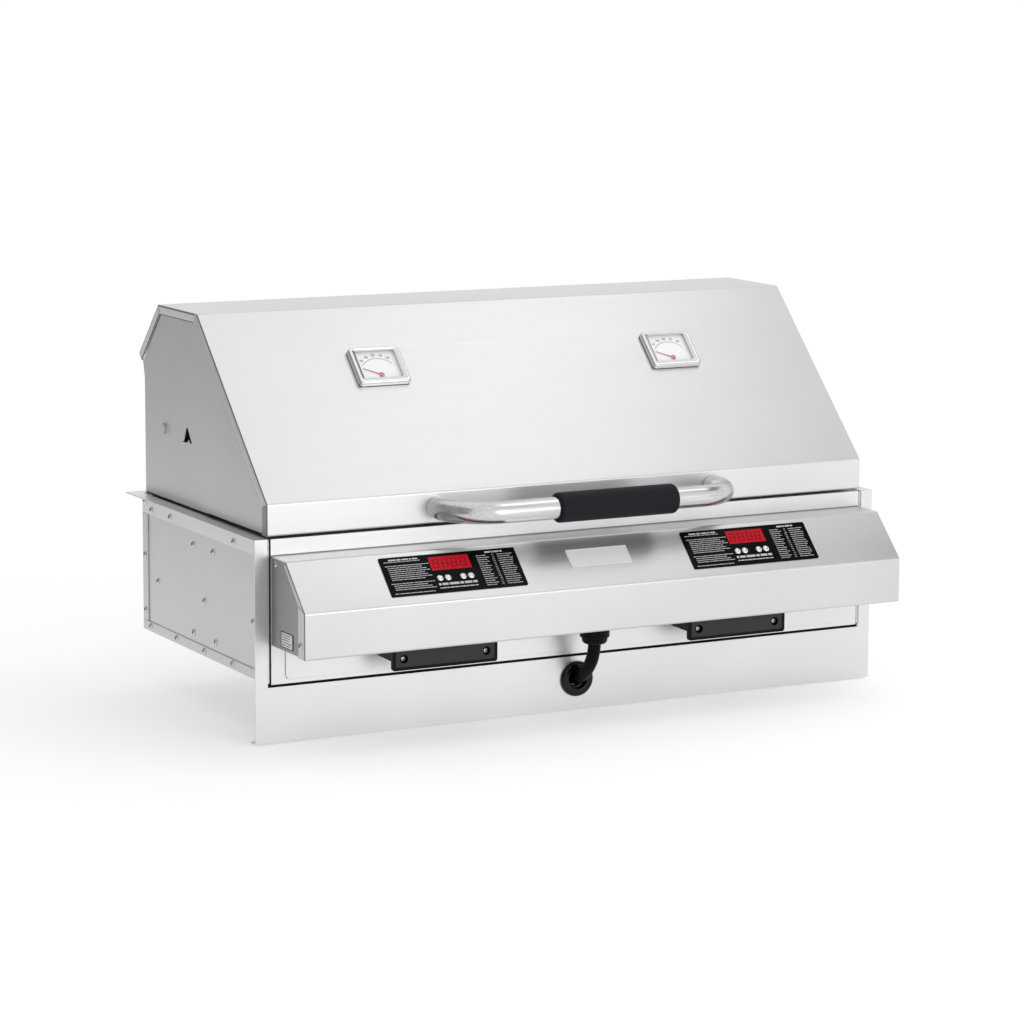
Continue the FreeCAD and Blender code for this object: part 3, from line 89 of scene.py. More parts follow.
camera = add_object("camera", bpy.data.cameras.new("camera"))
camera_axes = Matrix((right_hand, up_hand, -ahead)).transposed().to_4x4()
camera.matrix_world = Matrix.Translation(camera_spot) @ camera_axes
camera.data.sensor_width = 36
camera.data.lens = 122.23
bpy.context.scene.camera = camera
print("lens:", camera.data.lens, "mm")


# %% [markdown]
# A few helpers carry most of the modelling. `keep` turns a bmesh into an object that
# moves with a body of the model, and hides the node that the piece stands for. Nearly
# every shape is a row of rings of points with a skin between them, which `add_skin` draws.

# %% Helpers that make a piece
def mesh_object(name, mesh):
    """Turn a bmesh into an object, with its faces turned outward."""
    bmesh.ops.recalc_face_normals(mesh, faces=mesh.faces[:])
    data = bpy.data.meshes.new(name)
    mesh.to_mesh(data)
    mesh.free()
    return add_object(name, data)


def keep(
    mesh, name, material, body="grill_body", stands_for=(), smooth=35
):
    """Turn a bmesh into a piece that rides on a body."""
    piece = mesh_object(name, mesh)
    piece.data.materials.append(material)
    finish_piece(piece, body, stands_for, smooth)
    return piece


def finish_piece(piece, body, stands_for, smooth=35):
    """Shade a piece, hang it on its body and say what it replaces."""
    if piece.type == "MESH":
        for face in piece.data.polygons:
            face.use_smooth = True
        piece.data.set_sharp_from_angle(angle=radians(smooth))
        flat_faces = piece.modifiers.new("flat_faces", "WEIGHTED_NORMAL")
        flat_faces.keep_sharp = True
    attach(piece, body)
    if stands_for:
        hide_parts(*stands_for)


def add_skin(mesh, rings, capped=False):
    """Faces between neighbouring rings; a ring may be a single point."""
    faces = []
    for lower, upper in zip(rings, rings[1:]):
        count = max(len(lower), len(upper))
        for i in range(count):
            j = (i + 1) % count
            spots = (lower, i), (lower, j), (upper, j), (upper, i)
            corners = list(dict.fromkeys(ring[k % len(ring)] for ring, k in spots))
            if len(corners) > 2:
                faces.append(mesh.faces.new(corners))
    if capped:
        mesh.faces.new(rings[0][::-1])
        mesh.faces.new(rings[-1])
    return faces


def circle(steps):
    """Evenly spaced angles round a circle."""
    return [2 * pi * i / steps for i in range(steps)]


def add_turned(mesh, profile, place=Matrix(), steps=32, capped=False):
    """A shape turned about its own Z axis, from (radius, height) points."""
    rings = []
    for radius, height in profile:
        turns = circle(steps) if radius > 0 else [0]
        ring = [Vector((radius * cos(a), radius * sin(a), height)) for a in turns]
        rings.append([mesh.verts.new(place @ spot) for spot in ring])
    add_skin(mesh, rings, capped)


def facing(spot, out, along=(1, 0, 0)):
    """A place whose Z axis points out and whose X axis runs along."""
    out = Vector(out).normalized()
    across = out.cross(Vector(along)).normalized()
    along = across.cross(out)
    return Matrix.Translation(spot) @ Matrix((along, across, out)).transposed().to_4x4()


# %% [markdown]
# A finish is a material made of shader nodes. `Finish` makes the usual skeleton: one
# Principled shader, whose plain numbers are typed on its own sockets, and small
# helpers that wire a texture to its roughness, its colour or a bump. Textures use
# Object coordinates, which are the model's own metres, so grain and grit come out at
# their real size on any piece.

# %% Helpers that make a finish
def add_node(tree, kind, **values):
    """Add a shader node, setting its sockets by name and its own options."""
    item = tree.nodes.new(kind)
    for key, value in values.items():
        socket = key.replace("_", " ")
        if socket in item.inputs:
            item.inputs[socket].default_value = value
        else:
            setattr(item, key, value)
    return item


def rgba(color):
    """A colour for a socket; a plain number is a grey."""
    return (*color, 1) if isinstance(color, tuple) else (color, color, color, 1)


class Finish:
    """A material with one Principled shader and room for textures."""

    def __init__(self, name, color, roughness, metallic=0.0, **sockets):
        self.material = bpy.data.materials.new(name)
        self.material.use_nodes = True
        self.tree = self.material.node_tree
        self.shader = self.tree.nodes["Principled BSDF"]
        sockets.update(Base_Color=rgba(color), Roughness=roughness, Metallic=metallic)
        for socket, value in sockets.items():
            self.shader.inputs[socket.replace("_", " ")].default_value = value
        self.place = add_node(self.tree, "ShaderNodeTexCoord").outputs["Object"]

    def wire(self, *pairs):
        """Wire outputs to inputs, in pairs."""
        for source, target in pairs:
            self.tree.links.new(source, target)

    def noise(self, stretch, detail=2, rough=0.6):
        """A noise in the model's metres, stretched by a different scale each way."""
        mapping = add_node(self.tree, "ShaderNodeMapping", Scale=stretch)
        grain = add_node(self.tree, "ShaderNodeTexNoise", Scale=1.0, Detail=detail, Roughness=rough)
        self.wire((self.place, mapping.inputs["Vector"]))
        self.wire((mapping.outputs["Vector"], grain.inputs["Vector"]))
        return grain.outputs["Fac"]

    def rough(self, source, low, high):
        """Let a texture move the roughness between two limits."""
        item = add_node(self.tree, "ShaderNodeMapRange", To_Min=low, To_Max=high)
        self.wire((source, item.inputs["Value"]))
        self.wire((item.outputs["Result"], self.shader.inputs["Roughness"]))

    def grit(self, scale, low, high, detail=2):
        """Vary the roughness by a noise that is the same each way."""
        noise = self.noise((scale,) * 3, detail)
        self.rough(noise, low, high)
        return noise

    def tint(self, source, *stops):
        """Colour the surface by the value of a texture."""
        item = add_node(self.tree, "ShaderNodeValToRGB")
        while len(item.color_ramp.elements) < len(stops):
            item.color_ramp.elements.new(0.5)
        for element, (spot, value) in zip(item.color_ramp.elements, stops):
            element.position = spot
            element.color = rgba(value)
        self.wire((source, item.inputs["Fac"]))
        self.wire((item.outputs["Color"], self.shader.inputs["Base Color"]))

    def bump(self, source, depth, strength):
        """Raise the surface by a texture, depth in metres."""
        item = add_node(self.tree, "ShaderNodeBump", Distance=depth, Strength=strength)
        self.wire((source, item.inputs["Height"]))
        self.wire((item.outputs["Normal"], self.shader.inputs["Normal"]))


# %% [markdown]
# The supply cord is a thick round rubber lead. It drops out of a cable gland under
# the control box, swings back through a rubber grommet in the apron, and the rest is
# wound in a flat double coil that two saddles hold up under the floor, as it is
# packed for carrying. It is one NURBS curve: the listed points are the same as
# the model's, and the coil's points come from a loop, because a coil is a rule.

# %% Cord jacket finish
jacket = Finish("cord_jacket", (0.002, 0.002, 0.0024), 0.38, Specular_IOR_Level=0.09)
jacket.bump(jacket.grit(900, 0.34, 0.52, detail=4), 0.0002, 0.4)

# %% Run the cord
cord_points = [
    (0, -0.042, -0.1428),
    (0, -0.0405, -0.156),
    (0, -0.0310, -0.171),
    (0, -0.0165, -0.185),
    (0, 0.004, -0.193),
    (0.001, 0.029, -0.1945),
    (0.010, 0.064, -0.191),
    (0.032, 0.106, -0.182),
    (0.054, 0.146, -0.172),
]
coil_x, coil_y, coil_top = 0.150, 0.190, -0.1703
coil_radius, coil_pitch = 0.090, 0.0156
spiral_turns, climb_turns = 1.375, 0.5
coil_turns = 2 * spiral_turns + climb_turns
points_per_turn, tails_per_turn, tail_drop = 16, 6, 0.009
for step in range(int(coil_turns * points_per_turn) + 1):
    turns = step / points_per_turn
    radius = coil_radius - coil_pitch * (coil_turns / 2 - abs(turns - coil_turns / 2))
    climb = min(max((turns - spiral_turns) / climb_turns, 0), 1)
    tail = max(turns - coil_turns + 1 / tails_per_turn, 0) * tails_per_turn
    level = coil_top - coil_pitch * climb * climb * (3 - 2 * climb) - tail_drop * tail * tail
    angle = pi - 2 * pi * turns
    cord_points.append((coil_x + radius * cos(angle), coil_y + radius * sin(angle), level))

cord_curve = bpy.data.curves.new("supply_cord", "CURVE")
cord_curve.dimensions = "3D"
cord_curve.bevel_depth = 0.0075
cord_curve.bevel_resolution = 6
cord_curve.resolution_u = 12
cord_curve.use_fill_caps = True
cord_line = cord_curve.splines.new("NURBS")
cord_line.points.add(len(cord_points) - 1)
for point, spot in zip(cord_line.points, cord_points):
    point.co = (*spot, 1)
cord_line.order_u = 3
cord_line.use_endpoint_u = True
supply_cord = add_object("supply_cord", cord_curve)
cord_curve.materials.append(jacket.material)
finish_piece(supply_cord, "grill_body", ("power_cord", "cord_coil"))
print("cord points:", len(cord_points))


# %% [markdown]
# Brushed steel shows what stands around it, so the stage matters as much as the
# finish. The grill stands over a pale floor in a plain white studio. The camera, the
# metal and the glass all see the same white. Only the soft light that falls on matt
# pieces fades a little to the left, which keeps some shape in the blacks. The floor
# glows a little where it is seen or mirrored, so that it comes out as pale as the
# studio, but it throws none of that glow on the pieces.

# %% Floor
mm = 0.001
white = rgba(1)
square = ((-1, -1), (1, -1), (1, 1), (-1, 1))  # the corners, in their order round it


def stage_sheet(name, corners, finish):
    """One flat face that belongs to the stage, not to the object."""
    mesh = bmesh.new()
    mesh.faces.new([mesh.verts.new(corner) for corner in corners])
    sheet = mesh_object(name, mesh)
    sheet.data.materials.append(finish.material)
    return sheet


floor_finish = Finish("floor_white", 0.86, 0.9)
matt = floor_finish.shader.outputs[0]
floor_glow = add_node(floor_finish.tree, "ShaderNodeEmission", Color=white, Strength=0.32)
floor_sum = add_node(floor_finish.tree, "ShaderNodeAddShader")
floor_seen = add_node(floor_finish.tree, "ShaderNodeMixShader")
floor_rays = add_node(floor_finish.tree, "ShaderNodeLightPath")
floor_finish.wire(
    (matt, floor_sum.inputs[0]),
    (floor_glow.outputs[0], floor_sum.inputs[1]),
    (floor_rays.outputs["Is Diffuse Ray"], floor_seen.inputs["Fac"]),
    (floor_sum.outputs[0], floor_seen.inputs[1]),
    (matt, floor_seen.inputs[2]),
    (floor_seen.outputs[0], floor_finish.tree.nodes["Material Output"].inputs["Surface"]),
)
floor_low, floor_size = model_box[0][2] - 0.002, 30
floor_corners = [(x * floor_size, y * floor_size, floor_low) for x, y in square]
stage_sheet("floor", floor_corners, floor_finish)
print("floor at", round(floor_low / mm), "mm")

# %% Studio
studio = bpy.data.worlds.new("studio")
bpy.context.scene.world = studio
studio.use_nodes = True
studio_tree = studio.node_tree
soft_white = studio_tree.nodes["Background"]
soft_white.inputs["Color"].default_value = white
full_white = add_node(studio_tree, "ShaderNodeBackground", Color=white)
sky_way = add_node(studio_tree, "ShaderNodeTexCoord")
sky_side = add_node(studio_tree, "ShaderNodeVectorMath", operation="DOT_PRODUCT")
sky_side.inputs[1].default_value = (0.8, -0.1, 0.15)
fade_limits = {"From_Min": -0.55, "From_Max": 0.3, "To_Min": 0.5, "To_Max": 0.9}
sky_fade = add_node(studio_tree, "ShaderNodeMapRange", **fade_limits)
sky_rays = add_node(studio_tree, "ShaderNodeLightPath")
either, any_of_three = [
    add_node(studio_tree, "ShaderNodeMath", operation="ADD", use_clamp=True) for _ in range(2)
]
sky_mix = add_node(studio_tree, "ShaderNodeMixShader")
for source, target in (
    (sky_way.outputs["Generated"], sky_side.inputs[0]),
    (sky_side.outputs["Value"], sky_fade.inputs["Value"]),
    (sky_fade.outputs["Result"], soft_white.inputs["Strength"]),
    (sky_rays.outputs["Is Camera Ray"], either.inputs[0]),
    (sky_rays.outputs["Is Glossy Ray"], either.inputs[1]),
    (either.outputs[0], any_of_three.inputs[0]),
    (sky_rays.outputs["Is Transmission Ray"], any_of_three.inputs[1]),
    (any_of_three.outputs[0], sky_mix.inputs["Fac"]),
    (soft_white.outputs[0], sky_mix.inputs[1]),
    (full_white.outputs[0], sky_mix.inputs[2]),
    (sky_mix.outputs[0], studio_tree.nodes["World Output"].inputs["Surface"]),
):
    studio_tree.links.new(source, target)

bpy.context.scene.view_settings.view_transform = "Standard"
print("studio nodes:", len(studio_tree.nodes))


# %% [markdown]
# A photographer gives bright metal its edges with flags: grey cards just outside the
# picture, which the metal mirrors as darker tones. One stands to the left, so that
# everything turned that way is mid grey, and a small one hangs over the right end,
# where the lid's slope darkens. The camera itself never sees them.

# %% Flags
def grey_flag(name, corners, tone):
    """A grey card that only reflections see."""
    flag = stage_sheet(name, corners, Finish(name + "_card", tone, 0.9))
    flag.visible_camera = flag.visible_shadow = flag.visible_diffuse = False


left_x, left_front, left_back, left_top = -1.15, -0.9, 3.2, 1.5
left_y, left_z = (left_front, left_back), (floor_low, left_top)
grey_flag("left_flag", [(left_x, left_y[a > 0], left_z[b > 0]) for a, b in square], 0.42)
over_x, over_y, over_height = (1.95, 3.6), (-1.6, 0.9), 2.65
grey_flag("over_flag", [(over_x[a > 0], over_y[b > 0], over_height) for a, b in square], 0.3)
print("flags: left at", left_x, "m, above at", over_height, "m")


# %% [markdown]
# Two large soft lamps light it: one high over the front, which gives the slopes their
# bright middle, and one low in front, a little to the right, for the upright sheets.

# %% Lamps
def soft_lamp(name, spot, target, size, power):
    """A round soft lamp that is aimed at a point."""
    lamp = add_object(name, bpy.data.lights.new(name, "AREA"))
    lamp.data.shape = "DISK"
    lamp.data.size = size
    lamp.data.energy = power
    aim = (Vector(target) - Vector(spot)).to_track_quat("-Z", "Y").to_matrix().to_4x4()
    lamp.matrix_world = Matrix.Translation(spot) @ aim
    return lamp


front_lamp = soft_lamp("front_lamp", (0.7, -2.8, 0.45), (-0.2, 0, 0), 1.2, 12)
top_lamp = soft_lamp("top_lamp", (1.35, -0.3, 2.7), (0, 0.1, 0), 1.1, 3.8)
print("lamps:", front_lamp.data.energy, top_lamp.data.energy, "W")


# %% [markdown]
# Nearly everything is brushed stainless sheet. The mill's brushing leaves fine
# parallel scratches, so the finish is a metal with a noise that is stretched very
# long one way and is very fine across it. One noise sets both roughness and bump, and
# a broad faint one stands for the uneven sheen of a large sheet. The scratches
# run along the length of each sheet, so the fronts and the sides have their own.

# %% Brushed steel
def brushed_steel(name, along, tone, roughness=0.3, cloudy=0.05):
    steel = Finish(name, (tone, tone, tone * 0.99), roughness, 1.0)
    lengthwise, across = 5, 1500
    stretch = [across] * 3
    stretch["xyz".index(along)] = lengthwise
    scratches = steel.noise(stretch, 2, 0.7)
    clouds = steel.noise((4, 4, 4), 2, 0.5)
    blend = add_node(steel.tree, "ShaderNodeMath", operation="MULTIPLY_ADD")
    blend.inputs[1].default_value = 0.5
    steel.wire((clouds, blend.inputs[0]), (scratches, blend.inputs[2]))
    steel.rough(blend.outputs[0], roughness - 0.07, roughness + 0.13)
    steel.tint(clouds, (0.25, tone - cloudy), (0.75, tone + cloudy * 0.4))
    steel.bump(scratches, 0.00003, 0.35)
    return steel.material


front_steel = brushed_steel("steel_brushed_across_front", "x", 0.72)
box_steel = brushed_steel("steel_brushed_control_box", "x", 0.63, 0.28)
lid_steel = brushed_steel("steel_brushed_lid", "x", 0.68, 0.32)
side_steel = brushed_steel("steel_brushed_along_sides", "y", 0.66, 0.36)
inner_steel = brushed_steel("steel_inside", "x", 0.5, 0.42, cloudy=0.1)
# A darker copy of the steel, painted shade, for the control box ends and the lid's front band lips.
end_steel_painted_shade = brushed_steel("steel_ends_painted_shade", "y", 0.38, 0.4, cloudy=0.03)
# A paler copy of the steel, painted highlight, for the lips along the lid's top and back.
lip_steel_painted_highlight = brushed_steel("steel_lips_painted_highlight", "y", 0.86, 0.34, cloudy=0.03)
# A dark copy of the steel, painted shade, for the rolled lip edges and the strip in the control
# box's joint.
fold_steel_painted_shade = brushed_steel("steel_folds_painted_shade", "y", 0.26, 0.45, cloudy=0.03)
print("steels:", sum(item.name.startswith("steel_") for item in bpy.data.materials))


# %% [markdown]
# The smaller metals differ in how they were finished: the handle's tube and the
# gauge rims are polished, the screws are turned and tumbled, the grates are drawn
# rod with a satin skin, and the heating elements have burnt to a dark oxide.

# %% Other metals
polished = Finish("tube_polished", (0.62, 0.62, 0.61), 0.24, 1.0)
polished_haze = polished.noise((14, 500, 500), 3)
polished.rough(polished_haze, 0.16, 0.32)
polished.tint(polished_haze, (0.3, 0.52), (0.7, 0.68))
polished.bump(polished.noise((40, 1400, 1400)), 0.00003, 0.4)

chrome_rim = Finish("gauge_rim_chrome", 0.70, 0.12, 1.0)
chrome_rim.grit(60, 0.04, 0.12)

screw_steel = Finish("screw_steel", 0.66, 0.25, 1.0)
screw_steel.grit(700, 0.18, 0.36)

grate_steel = Finish("grate_rod_steel", (0.56, 0.56, 0.55), 0.34, 1.0)
grate_grain = grate_steel.noise((900, 6, 900), 3)
grate_steel.rough(grate_grain, 0.26, 0.46)
grate_steel.bump(grate_grain, 0.00003, 0.4)

burnt_steel = Finish("element_burnt_steel", (0.12, 0.11, 0.105), 0.55, 0.7)
burnt_marks = burnt_steel.noise((60, 60, 60), 5)
burnt_dark, burnt_mid, burnt_pale = (0.07, 0.065, 0.06), (0.16, 0.14, 0.13), (0.26, 0.22, 0.19)
burnt_steel.tint(burnt_marks, (0.3, burnt_dark), (0.55, burnt_mid), (0.8, burnt_pale))
burnt_steel.bump(burnt_marks, 0.0001, 0.5)
print("metals:", len(bpy.data.materials))


# %% [markdown]
# The rest is plastic, rubber, glass and ceramic. Moulded parts get a fine grit, each
# at its own scale, and the printed faces come later with their own cells.

# %% Plastics, rubber and ceramic
def moulded(name, color, roughness, scale=700, depth=0.00006, shine=0.5):
    plastic = Finish(name, color, roughness, Specular_IOR_Level=shine)
    grain = plastic.grit(scale, max(roughness - 0.08, 0.02), roughness + 0.1, detail=3)
    plastic.bump(grain, depth, 0.5)
    return plastic.material


grip_rubber = moulded("grip_foam_rubber", (0.006, 0.007, 0.011), 0.62, 1100, 0.00012, 0.2)
black_plastic_and_gap_shade = moulded("tray_handle_black_and_gap_shade", 0.003, 0.4, 800, shine=0.12)
handle_face = moulded("tray_handle_worn_face", (0.040, 0.038, 0.037), 0.55, 60, 0.00004, 0.25)
gland_black = moulded("gland_nylon_black", 0.002, 0.3, shine=0.09)
black_rubber_and_rim_shade = moulded("grommet_rubber_and_rim_shade", 0.003, 0.2, 300, 0.00003, 0.26)
plug_black = moulded("plug_rubber", 0.016, 0.42)
relay_black = moulded("relay_case", (0.03, 0.03, 0.036), 0.4)
board_green = moulded("circuit_board_green", (0.015, 0.09, 0.035), 0.35, 400)
ceramic_white = moulded("bushing_ceramic", (0.72, 0.70, 0.64), 0.35, 500)
panel_black = moulded("panel_gloss_black", (0.003, 0.003, 0.004), 0.2, 250, 0.00002, 0.04)
button_silver = Finish("button_metallised", (0.72, 0.72, 0.73), 0.2, 0.9, Coat_Weight=0.3)
button_silver.grit(500, 0.15, 0.3)
print("finishes:", len(bpy.data.materials))


# %% [markdown]
# Sheet metal is bent over a round nose in a press brake, so no fold is really sharp.
# The two largest skins, the lid and the front of the control box, are drawn as a
# side profile whose corners are rounded, then thickened and pulled along X. That
# gives true curved folds, which catch the long bright lines of the photograph.

# %% Helpers for folded sheet
def rounded_line(corners, radii, steps=8):
    """(y, z) corners joined by straight runs and round folds."""
    line = [Vector(corners[0])]
    for before, corner, after, radius in zip(corners, corners[1:], corners[2:], radii):
        corner = Vector(corner)
        into = (corner - Vector(before)).normalized()
        out = (Vector(after) - corner).normalized()
        half_turn = into.angle(out) / 2
        start = corner - into * (radius * tan(half_turn))
        side = 1 if into.x * out.y - into.y * out.x > 0 else -1
        centre = start + Vector((-into.y, into.x)) * radius * side
        spoke = start - centre
        for step in range(steps + 1):
            turn = 2 * half_turn * side * step / steps
            c, s = cos(turn), sin(turn)
            line.append(centre + Vector((spoke.x * c - spoke.y * s, spoke.x * s + spoke.y * c)))
    line.append(Vector(corners[-1]))
    return line


def offset_line(line, distance):
    """The line moved sideways; a positive distance moves it to its left."""
    moved = []
    for i, spot in enumerate(line):
        into = (spot - line[i - 1]).normalized() if i else (line[1] - spot).normalized()
        out = (line[i + 1] - spot).normalized() if i + 1 < len(line) else into
        middle = (into + out).normalized()
        stretch = 1 / max(middle.dot(into), 0.3)
        moved.append(spot + Vector((-middle.y, middle.x)) * distance * stretch)
    return moved


def add_pulled(mesh, outline, half):
    """A closed (y, z) outline pulled along X, half its length to each side."""
    rings = [[mesh.verts.new((x, y, z)) for y, z in outline] for x in (-half, half)]
    add_skin(mesh, rings)
    for corners in tessellate_polygon([[Vector((0, y, z)) for y, z in outline]]):
        for ring in rings:
            mesh.faces.new([ring[i] for i in corners])


def folded_skin(name, corners, radii, gauge, half, material, body="grill_body"):
    """A sheet folded along a profile; gauge is thickness to the profile's left."""
    outer = rounded_line(corners, radii)
    mesh = bmesh.new()
    add_pulled(mesh, outer + offset_line(outer, gauge)[::-1], half)
    return keep(mesh, name, material, body, smooth=30)


def cut_holes(piece, *cutters):
    """Cut round or shaped holes with boolean modifiers, and leave plain mesh."""
    for cutter in cutters:
        tool = piece.modifiers.new("hole", "BOOLEAN")
        tool.object = cutter
        tool.solver = "EXACT"
    bpy.context.view_layer.update()
    ready = piece.evaluated_get(bpy.context.evaluated_depsgraph_get())
    solid = bpy.data.meshes.new_from_object(ready)
    piece.modifiers.clear()
    piece.data = solid
    for cutter in cutters:
        bpy.data.objects.remove(cutter)


# %% [markdown]
# The lid is one sheet: a short upright band in front, the long slope, a flat ridge
# and a slanted back. It ends a hair inside the lips, so that a fine line shows
# between them.

# %% Lid skin
lid_half, skin_gap = 0.390, 0.0006
lid_corners = [
    (0.0145, 0.0034), (0.0025, 0.0034), (0.0025, 0.0393),
    (0.1945, 0.231), (0.310, 0.231), (0.370, 0.1675),
]
lid_radii = [0.0025, 0.004, 0.004, 0.004]
lid_span = lid_half - skin_gap
lid_skin = folded_skin("lid_skin", lid_corners, lid_radii, -0.0015, lid_span, lid_steel, "lid")
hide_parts("lid_shell")
print("lid skin:", len(lid_skin.data.polygons), "faces")


# %% [markdown]
# Lips are folded in from the skin down both ends, and the side plates are welded
# behind them. Each lip is a flat flap with rolled long edges. The rolled edges and the
# short front flap take darker steel, painted shade for the shadow in the folds, and
# the flaps along the top take paler steel, a painted highlight.

# %% Side lips
roll_width, roll_depth, lip_thick = 0.0017, 0.0006, 0.0015
hands = ((-1, "left"), (1, "right"))


def keep_flap(name, outer, inner, face_x, material, body="grill_body"):
    """A flap at both ends, between two (y, z) lines; rolls take the second finish."""
    depths = (roll_depth, 0, 0, roll_depth, lip_thick, lip_thick)
    for side, hand in hands:
        mesh, rows = bmesh.new(), []
        for near, far in zip(map(Vector, outer), map(Vector, inner)):
            roll = (far - near).normalized() * roll_width
            spots = zip((near, near + roll, far - roll, far, far, near), depths)
            rows.append([mesh.verts.new((side * (face_x - d), *spot)) for spot, d in spots])
        for count, face in enumerate(add_skin(mesh, rows, capped=True)):
            face.material_index = 1 if count % len(depths) in (0, 2) else 0
        flap = keep(mesh, f"{name}_lip_{hand}", material, body)
        # Slot 1, on the rolled edges, is the dark steel that is painted shade.
        flap.data.materials.append(fold_steel_painted_shade)


band_flap = [(0.0026, 0.0037), (0.0026, 0.0386)], [(0.0175, 0.0037), (0.0175, 0.0338)]
slope_flap = (
    [(0.0030, 0.0396), (0.1500, 0.1864), (0.1940, 0.2303)],
    [(0.0178, 0.0342), (0.1590, 0.1764), (0.2010, 0.2272)],
)
ridge_flap = [(0.2030, 0.2304), (0.3097, 0.2304)], [(0.2030, 0.2195), (0.3047, 0.2195)]
back_flap = [(0.3100, 0.2301), (0.3694, 0.1672)], [(0.3030, 0.2225), (0.3612, 0.1598)]
keep_flap("lid_band", *band_flap, lid_half, end_steel_painted_shade, "lid")
keep_flap("lid_slope", *slope_flap, lid_half, side_steel, "lid")
keep_flap("lid_ridge", *ridge_flap, lid_half, lip_steel_painted_highlight, "lid")
keep_flap("lid_back", *back_flap, lid_half, lip_steel_painted_highlight, "lid")


# %% [markdown]
# The front of the control box is folded the same way: a flat ledge on top, a slope
# that carries the controls, and an upright nose. A thin dark strip in the joint between
# its top and the frame is painted shade, for the shadow in that gap.

# %% Skin of the control box
box_corners = [
    (0, -0.0175), (-0.0402, -0.0175), (-0.0899, -0.067), (-0.0899, -0.1188), (-0.0809, -0.1188)
]
box_radii, box_half = [0.0045, 0.004, 0.0022], 0.3876
box_span = box_half - skin_gap
box_skin = folded_skin("control_box_skin", box_corners, box_radii, 0.0015, box_span, box_steel)
nose_flap = [(-0.0898, -0.1183), (-0.0898, -0.0674)], [(-0.0712, -0.1183), (-0.0712, -0.0606)]
slope_flap = [(-0.0894, -0.0667), (-0.0404, -0.0178)], [(-0.0716, -0.0598), (-0.0352, -0.0240)]
keep_flap("box_nose", *nose_flap, box_half, side_steel)
keep_flap("box_slope", *slope_flap, box_half, side_steel)

# A dark strip of painted shade, for the shadow gap between the box's top and the frame.
shade_strip_y, shade_strip_z = (-0.0009, -0.0001), (-0.0177, -0.0165)
mesh = bmesh.new()
add_pulled(mesh, [(shade_strip_y[a > 0], shade_strip_z[b > 0]) for a, b in square], box_half - 0.001)
keep(mesh, "box_joint_painted_shade", fold_steel_painted_shade)
print("bead:", round((shade_strip_z[1] - shade_strip_z[0]) / mm, 1), "mm high")


# %% [markdown]
# The controls stand on the slope, so every one of them is placed from the slope's
# upper edge. Holes for the buttons go right through the skin, so the buttons can be
# pressed without touching it.

# %% Holes in the slope
slope_top = Vector((0, -0.0402, -0.0175))
slope_down = Vector((0, -0.0497, -0.0495)).normalized()
slope_out = Vector((0, slope_down.z, -slope_down.y))
panels = (("left", -0.1935), ("right", 0.1935))
button_row, button_columns = 0.0396, (-0.0193, -0.0095, 0.0095, 0.0193)


def slope_place(x, down, out=0.0):
    """A place on the slope: X to the right, Y up the slope, Z out of it."""
    return facing(Vector((x, 0, 0)) + slope_top + slope_down * down + slope_out * out, slope_out)


def peg(place, radius, height, steps=32):
    """A round cutter with flat ends."""
    mesh = bmesh.new()
    add_turned(mesh, [(radius, 0), (radius, height)], place, steps, capped=True)
    return mesh_object("peg", mesh)


hole_radius, hole_half = 0.0043, 0.004
cut_holes(box_skin, *[
    peg(slope_place(centre + column, button_row, -hole_half), hole_radius, 2 * hole_half, 24)
    for hand, centre in panels
    for column in button_columns
])
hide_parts("control_box_shell")
print("control box skin:", len(box_skin.data.polygons), "faces")


# %% [markdown]
# The plain sheets, plates and castings have the right shape in the imported model, but
# their edges are razor sharp. Real edges are broken by deburring, and the thin
# bright line they catch tells the eye that this is sheet metal. So each such node is
# copied, its flat facets are merged, and its edges get a fine bevel. The floor pan's
# front lip is painted black, as painted shade for the dark gap it stands in.

# %% Sheets with broken edges
def node_mesh(name):
    """A bmesh of a node, with its corners joined."""
    mesh = bmesh.new()
    mesh.from_mesh(node[name].data)
    bmesh.ops.remove_doubles(mesh, verts=mesh.verts, dist=1e-6)
    return mesh


def broken_edges(name, material, body, width=0.00035):
    mesh = node_mesh(name)
    bmesh.ops.dissolve_limit(
        mesh, angle_limit=radians(0.5), verts=mesh.verts, edges=mesh.edges
    )
    paired = [edge for edge in mesh.edges if len(edge.link_faces) == 2]
    sharp = [edge for edge in paired if edge.calc_face_angle() > radians(40)]
    bmesh.ops.bevel(
        mesh, geom=sharp, offset=width, segments=2, profile=0.5,
        affect="EDGES", clamp_overlap=True,
    )
    keep(mesh, name + "_piece", material, body, stands_for=(name,), smooth=40)


front_sheets = ("face_frame", "front_panel", "counter_flanges")
side_sheets = ("side_panel_left", "side_panel_right")
end_sheets = ("control_box_end_left", "control_box_end_right")
back_sheets = ("rear_panel", "bottom_pan", "rear_shield", "control_box_bottom", "cord_straps")
inner_sheets = ("firebox_liner", "firebox_brackets", "tray_rails")
for names, material, body in (
    (front_sheets, front_steel, "grill_body"),
    (side_sheets, side_steel, "grill_body"),
    (end_sheets, end_steel_painted_shade, "grill_body"),
    (back_sheets, side_steel, "grill_body"),
    (inner_sheets, inner_steel, "grill_body"),
    (("lid_side_left", "lid_side_right"), side_steel, "lid"),
    (("lid_liner",), inner_steel, "lid"),
    (("grease_tray_left",), front_steel, "tray_left"),
    (("grease_tray_right",), front_steel, "tray_right"),
):
    for name in names:
        broken_edges(name, material, body)

# The pan's front lip takes the black plastic finish: painted shade for the gap under the tray
# fronts.
pan = bpy.data.objects["bottom_pan_piece"].data
pan_lip_y = 0.0049
pan.materials.append(black_plastic_and_gap_shade)
for face in pan.polygons:
    if face.normal.y < -0.5 and face.center.y < pan_lip_y:
        face.material_index = 1


